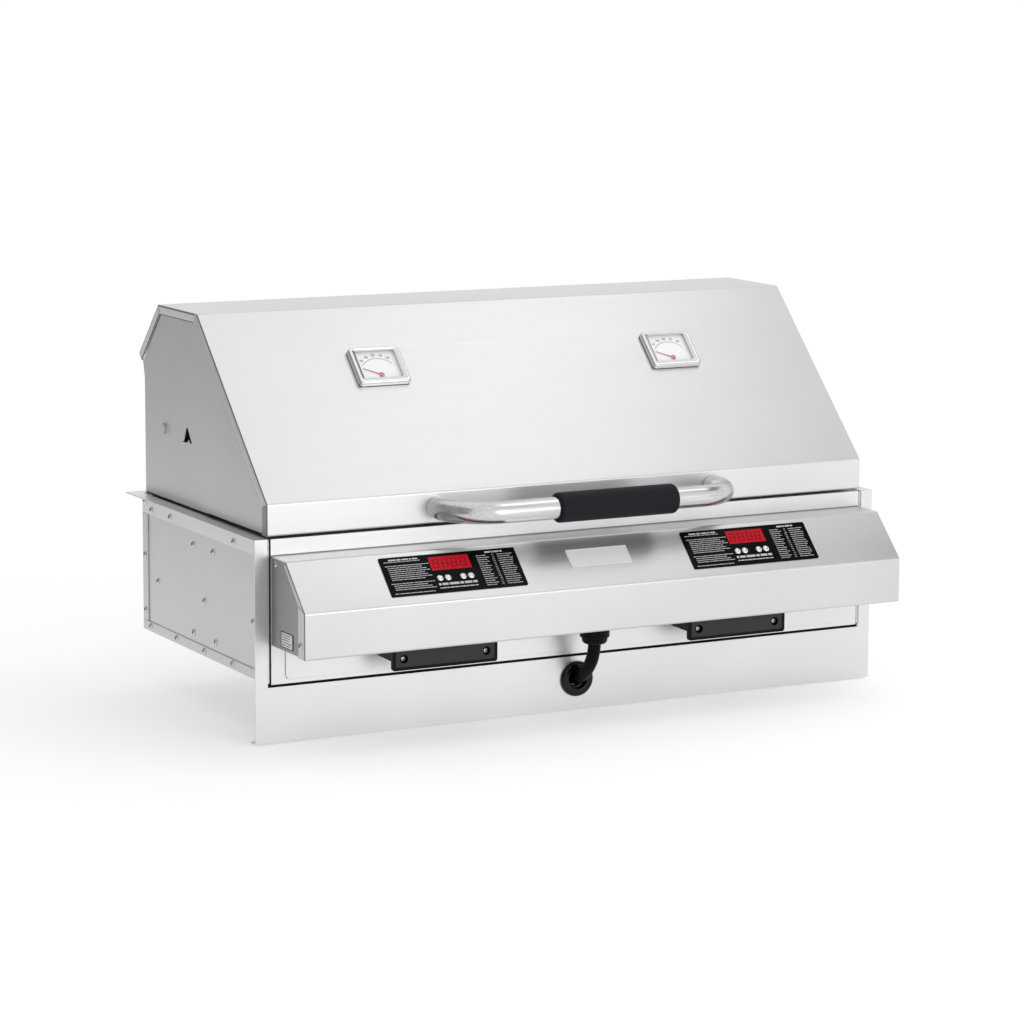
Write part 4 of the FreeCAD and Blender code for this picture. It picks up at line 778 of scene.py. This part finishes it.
# %% [markdown]
# Each control panel is a thin black plate, printed in white, with a red display
# window and four small domed keys. Its words are left out: rows of short white
# dashes keep the look of small print without saying anything, and only the cooking
# table has figures, which are plain round numbers. Print is a real, very thin layer
# of paint, so it is a mesh of low slabs lying on the plate.

# %% Slabs and plates
def add_slab(mesh, place, outline, low, high):
    """A flat shape with straight sides, from its outline in the place's X and Y."""
    rings = [[mesh.verts.new(place @ Vector((a, b, z))) for a, b in outline] for z in (low, high)]
    add_skin(mesh, rings, capped=True)


def rounded_outline(x, y, corner, steps):
    """A rectangle between limits in X and Y, with round corners."""
    outline = []
    for quarter, (sign_x, sign_y) in enumerate(((1, 1), (-1, 1), (-1, -1), (1, -1))):
        centre_x, centre_y = x[sign_x > 0] - corner * sign_x, y[sign_y > 0] - corner * sign_y
        for step in range(steps + 1 if corner else 1):
            turn = pi / 2 * (quarter + step / steps)
            outline.append((centre_x + corner * cos(turn), centre_y + corner * sin(turn)))
    return outline


def add_plate(mesh, place, x, y, low, high, corner=0.0, steps=4):
    """A plate between limits in the place's own axes."""
    add_slab(mesh, place, rounded_outline(x, y, corner, steps), low, high)


# %% Dashes and plain numbers
panel_down, panel_face, print_height = 0.0326, 0.0008, 0.00006
word_lengths = (5, 3, 7, 4, 6, 2, 5, 8, 3, 6, 4, 7)
number_strokes = {
    "0": "abcdef", "1": "bc", "2": "abged", "3": "abgcd", "4": "fgbc",
    "5": "afgcd", "6": "afgedc", "7": "abc", "8": "abcdefg", "9": "abcdfg",
}


def add_dash_row(
    mesh, place, x_low, x_high, y, thick, first, letter=0.00072, gap=0.9, least=2, low=panel_face
):
    """Dashes like a line of small print; gap and least are measured in letters."""
    at, count = x_low, first
    while at < x_high - least * letter:
        length = min(word_lengths[count % len(word_lengths)] * letter, x_high - at)
        y_limits = (y - thick / 2, y + thick / 2)
        add_plate(mesh, place, (at, at + length), y_limits, low, low + print_height)
        at += length + gap * letter
        count += 1


def stroke_boxes(width, height, thick):
    """The seven strokes of a block figure, as (x limits, y limits)."""
    w, h, t = width / 2, height / 2, thick / 2
    return {
        "a": ((-w, w), (h - t, h + t)), "g": ((-w, w), (-t, t)), "d": ((-w, w), (-h - t, -h + t)),
        "f": ((-w - t, -w + t), (0, h)), "b": ((w - t, w + t), (0, h)),
        "e": ((-w - t, -w + t), (-h, 0)), "c": ((w - t, w + t), (-h, 0)),
    }


def add_number(mesh, place, text, x, y, height, low, high, thick=0.16, lean=0.0):
    """Block figures from short bars, written from x to the right about height y."""
    width, bar = height * 0.5, height * thick
    strokes = stroke_boxes(width, height, bar)
    for i, figure in enumerate(text):
        centre = x + i * (width + 2.4 * bar)
        for stroke in number_strokes[figure]:
            corners = rounded_outline(*strokes[stroke], 0, 1)
            outline = [(centre + a + lean * b, y + b) for a, b in corners]
            add_slab(mesh, place, outline, low, high)


# %% Print the panels
print_white = moulded("panel_print_white", (0.58, 0.58, 0.60), 0.6)
title_rows = (
    # left end, right end, height, thickness, first word, letter
    (-0.0735, -0.0370, 0.0222, 0.0018, 2, 0.0013),
    (-0.0235, 0.0245, -0.0150, 0.0029, 5, 0.0015),
    (-0.0235, 0.0240, -0.0200, 0.0013, 8, 0.0008),
    (0.0465, 0.0685, 0.0224, 0.0020, 4, 0.0012),
)
text_rows, text_top, text_pitch, text_thick = 17, 0.0196, 0.00265, 0.00085
outdented_rows, empty_rows = (0, 2, 11, 16), (1, 10, 15)
table_rows, table_top, table_pitch, table_thick = 15, 0.0184, 0.00285, 0.0008
figure_x, figure_height = 0.0540, 0.0012
print_layer = (panel_face, panel_face + print_height)
for hand, centre in panels:
    place = slope_place(centre, panel_down)
    mesh = bmesh.new()
    for title in title_rows:
        add_dash_row(mesh, place, *title)
    for row in range(text_rows):
        start = -0.0800 if row in outdented_rows else -0.0775
        end, y = -0.0345 + 0.004 * (row % 3), text_top - row * text_pitch
        if row not in empty_rows:
            add_dash_row(mesh, place, start, end, y, text_thick, row)
    for row in range(table_rows):
        y = table_top - row * table_pitch
        temperature = str(150 + 25 * (row % 11))
        left_end, right_end = 0.0470 + 0.003 * (row % 2), 0.0795 - 0.003 * (row % 4 == 1)
        add_dash_row(mesh, place, 0.0345, left_end, y, table_thick, row)
        add_number(mesh, place, temperature, figure_x, y, figure_height, *print_layer)
        add_dash_row(mesh, place, 0.0605, right_end, y, table_thick, row + 3)
    keep(mesh, "panel_print_" + hand, print_white)
print("rows of print on a panel:", len(title_rows) + text_rows - len(empty_rows) + table_rows)


# %% [markdown]
# The display is a red filter in a window of the plate, with four eight-shaped
# figures that show through it even when they rest. The filter has a weak emission and
# the figures, which stay dark, a weaker one: both are painted glow, as the display is not lit.

# %% Displays
def painted_glow_red(name, color, glow, strength, roughness, low, high, scale):
    """A dark red with a weak emission that is painted glow."""
    red = Finish(
        name, color, roughness,
        Specular_IOR_Level=0.1, Emission_Color=rgba(glow), Emission_Strength=strength,
    )
    red.grit(scale, low, high)
    return red.material


# Both reds carry a painted glow: an emission on a display that is not lit.
filter_red = painted_glow_red(
    "display_filter_red", (0.20, 0.002, 0.006), (1.0, 0.006, 0.03), 0.30, 0.3, 0.25, 0.4, 300
)
figure_red = painted_glow_red(
    "display_figure_red", (0.12, 0.002, 0.006), (1.0, 0.004, 0.02), 0.16, 0.4, 0.3, 0.45, 500
)

window_down, window_x, window_y = 0.0195, 0.0249, 0.0091
figures_start, figures_height, figures_stretch, figures_lean = -0.0142, 0.0106, 1.24, 0.1
for hand, centre in panels:
    place = slope_place(centre, window_down)
    mesh = bmesh.new()
    add_plate(mesh, place, (-window_x, window_x), (-window_y, window_y), -0.0003, 0.0005, 0.0006)
    keep(mesh, "display_window_" + hand, filter_red)
    mesh = bmesh.new()
    broad = place @ Matrix.Diagonal((figures_stretch, 1, 1, 1))
    add_number(
        mesh, broad, "8888", figures_start, 0, figures_height, 0.00045, 0.00058,
        thick=0.15, lean=figures_lean,
    )
    keep(mesh, "display_figures_" + hand, figure_red)
print("display windows:", round(2 * window_x / mm), "by", round(2 * window_y / mm), "mm")


# %% [markdown]
# The keys are metallised domes. A dome is turned from an arc, sunk a little in its
# hole in the plate, with a stem that goes on through the sheet to its switch.

# %% Keys
dome_radius, dome_foot, dome_height, dome_steps = 0.0040, 0.0013, 0.0017, 7
turns = [pi / 2 * i / dome_steps for i in range(dome_steps + 1)]
dome = [(dome_radius * sin(turn), dome_foot + dome_height * cos(turn)) for turn in turns]
stem = [(dome_radius, -0.0038), (0.0047, -0.0040), (0.0047, -0.0060), (0, -0.0060)]
for hand, centre in panels:
    for number, column in enumerate(button_columns, start=1):
        mesh = bmesh.new()
        add_turned(mesh, dome + stem, slope_place(centre + column, button_row), 28)
        key, name = f"key_{hand}_{number}", f"button_{hand}_{number}"
        keep(mesh, key, button_silver.material, name, (name,), smooth=50)
print("keys:", len(panels) * len(button_columns))


# %% [markdown]
# Two square thermometers sit high on the lid. Each has a polished rim with a broad
# lower edge, a white dial with a printed arc and round numbers, a red hand, and a
# pane of glass. The rim is a loft: the same rounded rectangle drawn again and again,
# a little smaller and at another height each time, gives its soft section. A thin
# black ring under it is painted shade: it draws the dark shadow line round each gauge's foot.

# %% Gauge rims
lid_corner = Vector((0, 0.0025, 0.0393))
lid_up = Vector((0, 0.192, 0.1917)).normalized()
lid_out = Vector((0, -lid_up.z, lid_up.y))
gauges = (("left", -0.1923), ("right", 0.1967))
gauge_up, pivot_down = 0.180, 0.012


def gauge_place(x, up=gauge_up):
    """A place on the lid's slope: X to the right, Y up the slope, Z out of it."""
    return facing(Vector((x, 0, 0)) + lid_corner + lid_up * up, lid_out)


def add_loft(mesh, place, sections, capped=False):
    """Skin a row of (half x, half y, corner, shift in y, height) rounded rectangles."""
    rings = []
    for half_x, half_y, corner, shift, height in sections:
        outline = rounded_outline((-half_x, half_x), (shift - half_y, shift + half_y), corner, 5)
        rings.append([mesh.verts.new(place @ Vector((x, y, height))) for x, y in outline])
    add_skin(mesh, rings if capped else rings + rings[:1], capped)


rim_sections = (
    (0.0325, 0.0262, 0.0042, 0, 0.0008),
    (0.0328, 0.0265, 0.0044, 0, 0.0012),
    (0.0328, 0.0265, 0.0044, 0, 0.0040),
    (0.0325, 0.0262, 0.0042, 0, 0.0053),
    (0.0318, 0.0255, 0.0039, 0, 0.0063),
    (0.0308, 0.0245, 0.0035, 0, 0.0069),
    (0.0298, 0.0235, 0.0031, 0.0002, 0.0070),
    (0.0286, 0.0225, 0.0027, 0.0006, 0.0067),
    (0.0278, 0.0218, 0.0025, 0.0009, 0.0061),
    (0.0262, 0.0205, 0.0021, 0.0012, 0.0058),
    (0.0252, 0.0197, 0.0020, 0.0012, 0.0055),
    (0.0250, 0.0195, 0.0020, 0.0012, 0.0054),
    (0.0277, 0.0222, 0.0020, 0.0012, 0.0054),
    (0.0277, 0.0222, 0.0020, 0.0012, 0.0008),
)
# A black ring under the rim, painted shade for the shadow at the rim's foot.
shade_ring_sections = (
    (0.0328, 0.0265, 0.0044, 0, 0),
    (0.0328, 0.0265, 0.0044, 0, 0.0009),
    (0.0277, 0.0222, 0.0020, 0.0012, 0.0009),
    (0.0277, 0.0222, 0.0020, 0.0012, 0),
)
for hand, centre in gauges:
    for word, sections, material, smooth in (
        ("rim", rim_sections, chrome_rim.material, 40),
        ("shade_ring", shade_ring_sections, black_rubber_and_rim_shade, 35),
    ):
        mesh = bmesh.new()
        add_loft(mesh, gauge_place(centre), sections)
        keep(mesh, f"gauge_{word}_{hand}", material, "lid", smooth=smooth)
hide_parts("gauge_bezels")
print("gauge rims:", len(gauges), "of", len(rim_sections), "sections each")


# %% [markdown]
# The dial is enamelled white and printed with one thin arc, short ticks and five
# round numbers. The hand starts below the first number, as it does when the grill is
# cold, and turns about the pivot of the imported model.

# %% Dials and hands
dial_white = moulded("dial_enamel_white", (0.92, 0.93, 0.94), 0.45, 300)
ink_and_recess_shade = moulded("dial_print_and_recess_shade", (0.02, 0.02, 0.024), 0.5)
hand_red = moulded("hand_enamel_red", (0.50, 0.012, 0.02), 0.3, 400)
dial_face = 0.00125
ink_layer = (dial_face, dial_face + 0.00006)
arc_radius, arc_thick, arc_start, arc_end, arc_steps = 0.0240, 0.0006, 141, 42, 30
tick_length, tick_thick, tick_step = 0.0014, 0.0003, 9
dial_numbers = {"100": 131, "200": 113, "300": 94, "400": 75, "500": 57}
number_radius, number_height, number_half, squeeze = 0.0288, 0.0028, 0.0021, 0.6
needle_rest = 154
needle = [(0.0, -0.0009), (0.0225, -0.0004), (0.023, 0), (0.0225, 0.0004), (0.0, 0.0009)]
hub = [(0.0031, 0.0016), (0.0031, 0.0026), (0.0026, 0.0030), (0, 0.0031)]


def spoke(degrees, length):
    """A point at a distance from the pivot, in a direction."""
    return Vector((cos(radians(degrees)), sin(radians(degrees)))) * length


for hand, centre in gauges:
    pivot = gauge_place(centre, gauge_up - pivot_down)
    mesh = bmesh.new()
    stops = [arc_start + (arc_end - arc_start) * i / arc_steps for i in range(arc_steps + 1)]
    for one, two in zip(stops, stops[1:]):
        outer, inner = arc_radius + arc_thick, arc_radius
        quad = [spoke(one, outer), spoke(two, outer), spoke(two, inner), spoke(one, inner)]
        add_slab(mesh, pivot, quad, *ink_layer)
    for angle in range(arc_end, arc_start + 1, tick_step):
        way = spoke(angle, 1)
        side = Vector((-way.y, way.x)) * tick_thick / 2
        inner, outer = way * (arc_radius - tick_length), way * arc_radius
        add_slab(mesh, pivot, [inner - side, outer - side, outer + side, inner + side], *ink_layer)
    narrow = pivot @ Matrix.Diagonal((squeeze, 1, 1, 1))
    for value, angle in dial_numbers.items():
        x, y = spoke(angle, number_radius)
        start = (x - number_half) / squeeze
        add_number(mesh, narrow, value, start, y, number_height, *ink_layer, thick=0.24)
    keep(mesh, "dial_print_" + hand, ink_and_recess_shade, "lid")

    mesh = bmesh.new()
    turned = pivot @ Matrix.Rotation(radians(needle_rest), 4, "Z")
    add_slab(mesh, turned, needle, 0.00155, 0.00205)
    add_turned(mesh, hub, pivot, 28)
    name, body, cad_node = f"gauge_hand_{hand}", f"pointer_{hand}", f"gauge_pointer_{hand}"
    keep(mesh, name, hand_red, body, (cad_node,))
print("dial numbers:", len(dial_numbers), "on each")


# %% [markdown]
# Glass needs thickness to bend light, but a pane this thin mostly just reflects. It
# is a clear transmitting shader with a very low roughness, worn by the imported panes.
# So thin a pane casts no shadow on its dial, which keeps the dial white.

# %% Gauge glass
pane = Finish(
    "gauge_glass_clear", (0.97, 0.98, 0.98), 0.03, Transmission_Weight=1.0, IOR=1.45
)
pane.grit(40, 0.01, 0.05)
panes = node["gauge_glasses"]
panes.visible_shadow = panes.visible_diffuse = False
print("panes cast a shadow:", panes.visible_shadow)


# %% [markdown]
# The handle is one bent tube. A ring of points is carried along a line that has the
# same straight legs, quarter bends and long bar as the real tube, and the rings get
# one skin. The wide grip is foam rubber with softly rounded ends, turned like a peg.

# %% Handle tube
tube_radius, grip_radius, grip_soft, grip_low, grip_high = 0.0127, 0.0173, 0.0045, -0.0625, 0.0925
handle_span, handle_y, handle_z, handle_bend = 0.1815, -0.060, 0.022, 0.052
leg_start, leg_end, bend_steps = 0.0020, -0.0040, 12


def add_tube(mesh, points, radius, steps=40):
    """A round skin along a line of points, with flat ends."""
    rings, side = [], None
    for i, spot in enumerate(points):
        way = (points[min(i + 1, len(points) - 1)] - points[max(i - 1, 0)]).normalized()
        side = way.cross(Vector((0, 0, 1))) if side is None else side - way * side.dot(way)
        side.normalize()
        other = way.cross(side)
        spokes = [(side * cos(t) + other * sin(t)) * radius for t in circle(steps)]
        rings.append([mesh.verts.new(spot + spoke) for spoke in spokes])
    add_skin(mesh, rings, capped=True)


handle_points = [Vector((-handle_span, y, handle_z)) for y in (leg_start, leg_end)]
for side, hand in hands:
    centre = Vector((side * (handle_span - handle_bend), handle_y + handle_bend, handle_z))
    for step in range(bend_steps + 1):
        turn = pi / 2 * (step if side < 0 else bend_steps - step) / bend_steps
        handle_points.append(centre + Vector((side * cos(turn), -sin(turn), 0)) * handle_bend)
handle_points += [Vector((handle_span, y, handle_z)) for y in (leg_end, leg_start)]
mesh = bmesh.new()
add_tube(mesh, handle_points, tube_radius)
keep(mesh, "handle_tube_piece", polished.material, "lid", ("handle_tube",))

# %% Grip
grip_profile, grip_steps = [(0.01285, 0.0006), (0.0140, 0.0)], 6
for step in range(grip_steps + 1):
    turn = pi / 2 * step / grip_steps
    spot = (grip_radius - grip_soft * (1 - sin(turn)), grip_soft * (1 - cos(turn)))
    grip_profile.append(spot)
grip_length = grip_high - grip_low
grip_profile += [(radius, grip_length - height) for radius, height in reversed(grip_profile)]
mesh = bmesh.new()
grip_place = facing((grip_low, handle_y, handle_z), (1, 0, 0), (0, 0, 1))
add_turned(mesh, grip_profile, grip_place, 48)
keep(mesh, "handle_grip_piece", grip_rubber, "lid", ("handle_grip",))
print("grip:", round(grip_length / mm), "mm long")


# %% [markdown]
# Screws show by the dozen, all of one pattern: a low domed head with a cross recess.
# One head is turned and cut once with two crossed bars, then copied to every place.
# The floor of its cross is painted dark, as painted shade.
# The places are read from the imported screws, island by island, so none can stray.

# %% One screw head
def head_pattern(radius, height, steps=6):
    """A domed head on the XY plane, with a cross cut in its top whose floor is painted shade."""
    quarter = [pi / 2 * i / steps for i in range(steps)]
    crown = [(radius * cos(t), height * (0.35 + 0.65 * sin(t))) for t in quarter]
    mesh = bmesh.new()
    add_turned(mesh, [(0, 0), (radius, 0), *crown, (0, height)], steps=28)
    head = mesh_object("head_pattern", mesh)
    bars = []
    for half_x, half_y in ((radius * 0.62, radius * 0.19), (radius * 0.19, radius * 0.62)):
        mesh = bmesh.new()
        x, y = (-half_x, half_x), (-half_y, half_y)
        add_plate(mesh, Matrix(), x, y, height * 0.3, height * 2)
        bars.append(mesh_object("cross_bar", mesh))
    cut_holes(head, *bars)
    pattern = head.data
    for face in pattern.polygons:
        # The cross's floor takes slot 1, a dark colour that is painted shade.
        recess_painted_shade = face.center.z < height * 0.31 and face.normal.z > 0.5
        face.material_index = 1 if recess_painted_shade else 0
    bpy.data.objects.remove(head)
    return pattern


def add_copy(mesh, pattern, place):
    """Another copy of a pattern mesh, at a place."""
    data = pattern.copy()
    data.transform(place)
    mesh.from_mesh(data)
    bpy.data.meshes.remove(data)


def keep_screws(mesh, name, body, cad_node):
    """Screws of bright steel, their recesses painted dark as shade."""
    screws = keep(mesh, name, screw_steel.material, body, (cad_node,))
    screws.data.materials.append(ink_and_recess_shade)


def islands(name):
    """The corner-to-corner boxes of the separate solids in a node, in a fixed order."""
    mesh = node_mesh(name)
    left, boxes = set(mesh.verts), []
    while left:
        stack, found = [left.pop()], []
        while stack:
            point = stack.pop()
            found.append(point.co.copy())
            near = [edge.other_vert(point) for edge in point.link_edges]
            fresh = [other for other in near if other in left]
            left.difference_update(fresh)
            stack.extend(fresh)
        boxes.append([[pick(p[i] for p in found) for i in range(3)] for pick in (min, max)])
    mesh.free()
    return sorted(boxes)


# %% Screws on the sides
head_radius, head_height, spin_step = 0.0038, 0.0018, 0.7
shank_radius, shank_length = 0.0016, 0.0045
side_head = head_pattern(head_radius, head_height)
mesh = bmesh.new()
side_screws = islands("body_screws")
for count, (low, high) in enumerate(side_screws):
    out = 1 if high[0] > 0 else -1
    face = high[0] - head_height if out > 0 else low[0] + head_height
    spot = Vector((face, (low[1] + high[1]) / 2, (low[2] + high[2]) / 2))
    spin = Matrix.Rotation(spin_step * count, 4, "Z")
    add_copy(mesh, side_head, facing(spot, (out, 0, 0), (0, 1, 0)) @ spin)
    shank = facing(spot - Vector((out * shank_length, 0, 0)), (out, 0, 0), (0, 1, 0))
    profile = [(0, 0), (shank_radius, 0), (shank_radius, shank_length + 0.0001)]
    add_turned(mesh, profile, shank, 12)
keep_screws(mesh, "side_screws", "grill_body", "body_screws")
print("side screws:", len(side_screws))


# %% [markdown]
# The tray pulls are moulded black plastic: a plate with a shallow worn tray in its
# face and two deep round seats with a screw in each. The plate hangs lower than the
# body behind it, which is hollow for the fingers. They are cut from a lofted block
# with boolean modifiers, the quickest way to seats and hollows with crisp rims.

# %% Tray pulls
pull_half, pull_top, pull_foot, pull_face, pull_back = 0.066, -0.1245, -0.1515, -0.043, -0.0018
pull_middle_z, pull_half_z = (pull_top + pull_foot) / 2, (pull_top - pull_foot) / 2
pull_plate, pull_hang, worn_depth = 0.006, 0.0108, 0.0008
pull_x, finger_half, past = 0.192, 0.048, 0.01  # a cutter reaches past the block
seat_spacing, seat_z, seat_radius, seat_depth = 0.052, -0.1385, 0.0050, 0.0048
pull_head, pull_spin = head_pattern(0.0029, 0.0020), 0.4
pull_sections = [
    (pull_half - 0.002, pull_half_z - 0.0005, 0.003, 0, -pull_back),
    (pull_half, pull_half_z, 0.003, 0, -pull_face - 0.0012),
    (pull_half - 0.0004, pull_half_z - 0.0004, 0.003, 0, -pull_face - 0.0004),
    (pull_half - 0.0012, pull_half_z - 0.0012, 0.0025, 0, -pull_face),
]
worn_y, worn_z = (pull_face - past, pull_face + worn_depth), (pull_foot + 0.0035, pull_top - 0.0022)
finger_y, finger_z = (pull_face + 0.009, pull_back - 0.004), (pull_foot - past, pull_top - 0.006)
under_y, under_z = (pull_face + pull_plate, past), (pull_foot - past, pull_foot + pull_hang)


def front_block(name, middle, half_x, y, z, corner=0.0):
    """A cutter seen from the front, with corners rounded in that view."""
    mesh = bmesh.new()
    place = facing((0, 0, 0), (0, -1, 0))
    add_plate(mesh, place, (middle - half_x, middle + half_x), z, -y[1], -y[0], corner, 5)
    return mesh_object(name, mesh)


for side, hand in hands:
    middle, body = side * pull_x, "tray_" + hand
    mesh = bmesh.new()
    front = facing((middle, 0, pull_middle_z), (0, -1, 0))
    add_loft(mesh, front, pull_sections, capped=True)
    pull = keep(mesh, "tray_pull_" + hand, black_plastic_and_gap_shade, body)
    seats = [
        peg(facing((middle + way * seat_spacing, pull_face - past, seat_z), (0, 1, 0)),
            seat_radius, past + seat_depth)
        for way in (-1, 1)
    ]
    cut_holes(
        pull,
        front_block("worn_face", middle, pull_half - 0.0035, worn_y, worn_z, 0.002),
        front_block("finger_space", middle, finger_half, finger_y, finger_z, 0.003),
        front_block("under_body", middle, pull_half + past, under_y, under_z),
        *seats,
    )
    pull.data.materials.append(handle_face)
    for face in pull.data.polygons:
        depth = face.center.y - pull_face
        if face.normal.y < -0.9 and abs(depth - worn_depth) < 0.0001:
            face.material_index = 1
    finish_piece(pull, body, ("tray_handle_" + hand,))
    mesh = bmesh.new()
    for way in (-1, 1):
        spot = (middle + way * seat_spacing, pull_face + seat_depth - 0.0002, seat_z)
        turned = facing(spot, (0, -1, 0)) @ Matrix.Rotation(pull_spin * way, 4, "Z")
        add_copy(mesh, pull_head, turned)
    keep_screws(mesh, "tray_pull_screws_" + hand, body, "tray_handle_screws_" + hand)
print("tray pulls:", len(hands))


# %% [markdown]
# The cord leaves the box through a domed nylon gland with ribs for the fingers, and
# enters the apron through a fat glossy rubber grommet. Both are turned shapes. The
# ribs are a ripple put on the turned skin's radius. An inner ring closes the grommet
# round the cord, so that no light shines through it.

# %% Gland and grommet
def arc_points(middle_radius, middle_height, radius, first, last, steps=6):
    """(radius, height) points on an arc, angles in degrees."""
    turns = [radians(first + (last - first) * i / steps) for i in range(steps + 1)]
    return [(middle_radius + radius * cos(t), middle_height + radius * sin(t)) for t in turns]


gland_profile = [
    (0.0077, 0.0), (0.0095, 0.0), *arc_points(0.0095, 0.0052, 0.0052, -88, 0),
    (0.0150, 0.0078), *arc_points(0.0160, 0.0092, 0.0012, -90, 0, 3),
    (0.0174, 0.0165), *arc_points(0.0176, 0.0190, 0.0009, -90, 0, 3),
    (0.0185, 0.0236), (0.0181, 0.0240), (0.0110, 0.0240), (0.0077, 0.0240),
]
gland_y, rib_low, rib_high, rib_count, rib_height = -0.042, 0.0120, 0.0152, 18, 0.014
mesh = bmesh.new()
add_turned(mesh, gland_profile, Matrix.Translation((0, gland_y, -0.1428)), 144)
for point in mesh.verts:
    x, y = point.co.x, point.co.y - gland_y
    if rib_low < Vector((x, y)).length < rib_high:
        ripple = 1 + rib_height * cos(rib_count * atan2(y, x))
        point.co.x, point.co.y = x * ripple, y * ripple + gland_y
keep(mesh, "cord_gland", gland_black, stands_for=("cable_gland",), smooth=50)

grommet_profile = [
    (0.0110, -0.0010), *arc_points(0.0135, 0.0028, 0.0025, 180, 60),
    *arc_points(0.0164, 0.0012, 0.0044, 75, 0, 8), (0.0200, 0.0), (0.0139, 0.0),
    (0.0139, -0.0015), (0.0190, -0.0015), (0.0197, -0.0030),
    *arc_points(0.0165, -0.0040, 0.0025, 0, -90, 4), (0.0130, -0.0060), (0.0112, -0.0050),
    (0.0110, -0.0036), (0.0096, -0.0036), (0.0092, -0.0030), (0.0096, -0.0024),
    (0.0110, -0.0020), (0.0110, -0.0010),
]
seal_corners = ((0.0076, -0.0048), (0.0124, -0.0048), (0.0124, -0.0060), (0.0076, -0.0060))
mesh = bmesh.new()
grommet_place = facing((0, 0, -0.192), (0, -1, 0))
add_turned(mesh, grommet_profile, grommet_place, 64)
seal_place = grommet_place @ Matrix.Translation((0, -0.0006, 0))
add_turned(mesh, [*seal_corners, seal_corners[0]], seal_place, 48)
bmesh.ops.remove_doubles(mesh, verts=mesh.verts, dist=1e-6)
keep(
    mesh, "cord_grommet", black_rubber_and_rim_shade,
    stands_for=("apron_grommet",), smooth=50,
)
print("points round the gland and grommet:", len(gland_profile), len(grommet_profile))


# %% [markdown]
# Two small plates are bare here: a badge in the middle of the slope and a plate on
# the left end. The badge keeps its raised rim, and the end plate has a dark border
# and rows of short dashes. Both are lacquered silver foil, paler than bare steel.

# %% Badge
foil = Finish("badge_silver_foil", (0.82, 0.83, 0.85), 0.42, 0.1, Specular_IOR_Level=0.3)
foil.rough(foil.noise((20, 1400, 1400)), 0.34, 0.5)
badge_sections = (
    (0.0395, 0.0120, 0.0012, 0, 0.0),
    (0.0395, 0.0120, 0.0012, 0, 0.0009),
    (0.0392, 0.0117, 0.0012, 0, 0.0012),
    (0.0385, 0.0110, 0.0010, 0, 0.0012),
    (0.0382, 0.0107, 0.0010, 0, 0.0008),
)
mesh = bmesh.new()
add_loft(mesh, slope_place(-0.0065, 0.029), badge_sections, capped=True)
badge = keep(mesh, "bare_badge", foil.material, smooth=30)
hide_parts("blank_plates")
print("badge:", len(badge.data.polygons), "faces")

# %% Plate on the left end
plate_low, plate_high = map(Vector, islands("blank_plates")[0])
plate_middle = (plate_low + plate_high) / 2
plate_thick, plate_width, plate_height = plate_high - plate_low
end_place = facing((plate_high.x, *plate_middle.yz), (-1, 0, 0), (0, -1, 0))


def keep_layer(name, material, half_x, half_y, low, high, corner):
    """A layer of the end plate, centred on it."""
    mesh = bmesh.new()
    add_plate(mesh, end_place, (-half_x, half_x), (-half_y, half_y), low, high, corner)
    keep(mesh, name, material)


foil_x, foil_y = plate_width / 2 - 0.0020, plate_height / 2 - 0.0009
foil_low, foil_top = plate_thick - 0.0001, plate_thick + print_height
keep_layer("bare_end_plate", ink_and_recess_shade, plate_width / 2, plate_height / 2, 0, plate_thick, 0.001)
keep_layer("end_plate_foil", foil.material, foil_x, foil_y, foil_low, foil_top, 0.0008)
mesh = bmesh.new()
row_count, row_thick, row_letter, top_row = 5, 0.0009, 0.0011, foil_y - 0.0022
for row in range(row_count):
    y = top_row - row * 2 * top_row / (row_count - 1)
    start, end = -foil_x + 0.0025, foil_x - 0.0030 - 0.003 * (row % 3)
    add_dash_row(
        mesh, end_place, start, end, y, row_thick, row, row_letter,
        gap=12 / 11, least=10 / 11, low=foil_top,
    )
keep(mesh, "end_plate_dashes", ink_and_recess_shade)
print("end plate:", round(plate_width / mm), "by", round(plate_height / mm), "mm")


# %% [markdown]
# The nodes that keep their own mesh only need their finish. Last, the model's box
# is written out.

# %% Finish the nodes that stay
for material, names in (
    (screw_steel.material, ("handle_bolts", "temperature_probes")),
    (side_steel, ("hinge_pins",)),
    (grate_steel.material, ("cooking_grate_left", "cooking_grate_right")),
    (burnt_steel.material, ("heating_element_left", "heating_element_right")),
    (ceramic_white, ("element_bushings",)),
    (relay_black, ("relays_and_terminals",)),
    (board_green, ("display_boards",)),
    (plug_black, ("power_plug",)),
    (panel_black, ("control_panel_left", "control_panel_right")),
    (dial_white, ("gauge_movements",)),
    (pane.material, ("gauge_glasses",)),
):
    for name in names:
        node[name].data.materials.clear()
        node[name].data.materials.append(material)
print("finishes in use:", sum(item.users > 0 for item in bpy.data.materials))

# %% Write out the model's box
def plain(box):
    return [[round(value, 5) for value in corner] for corner in box]


print("box of the model:", plain(model_box))
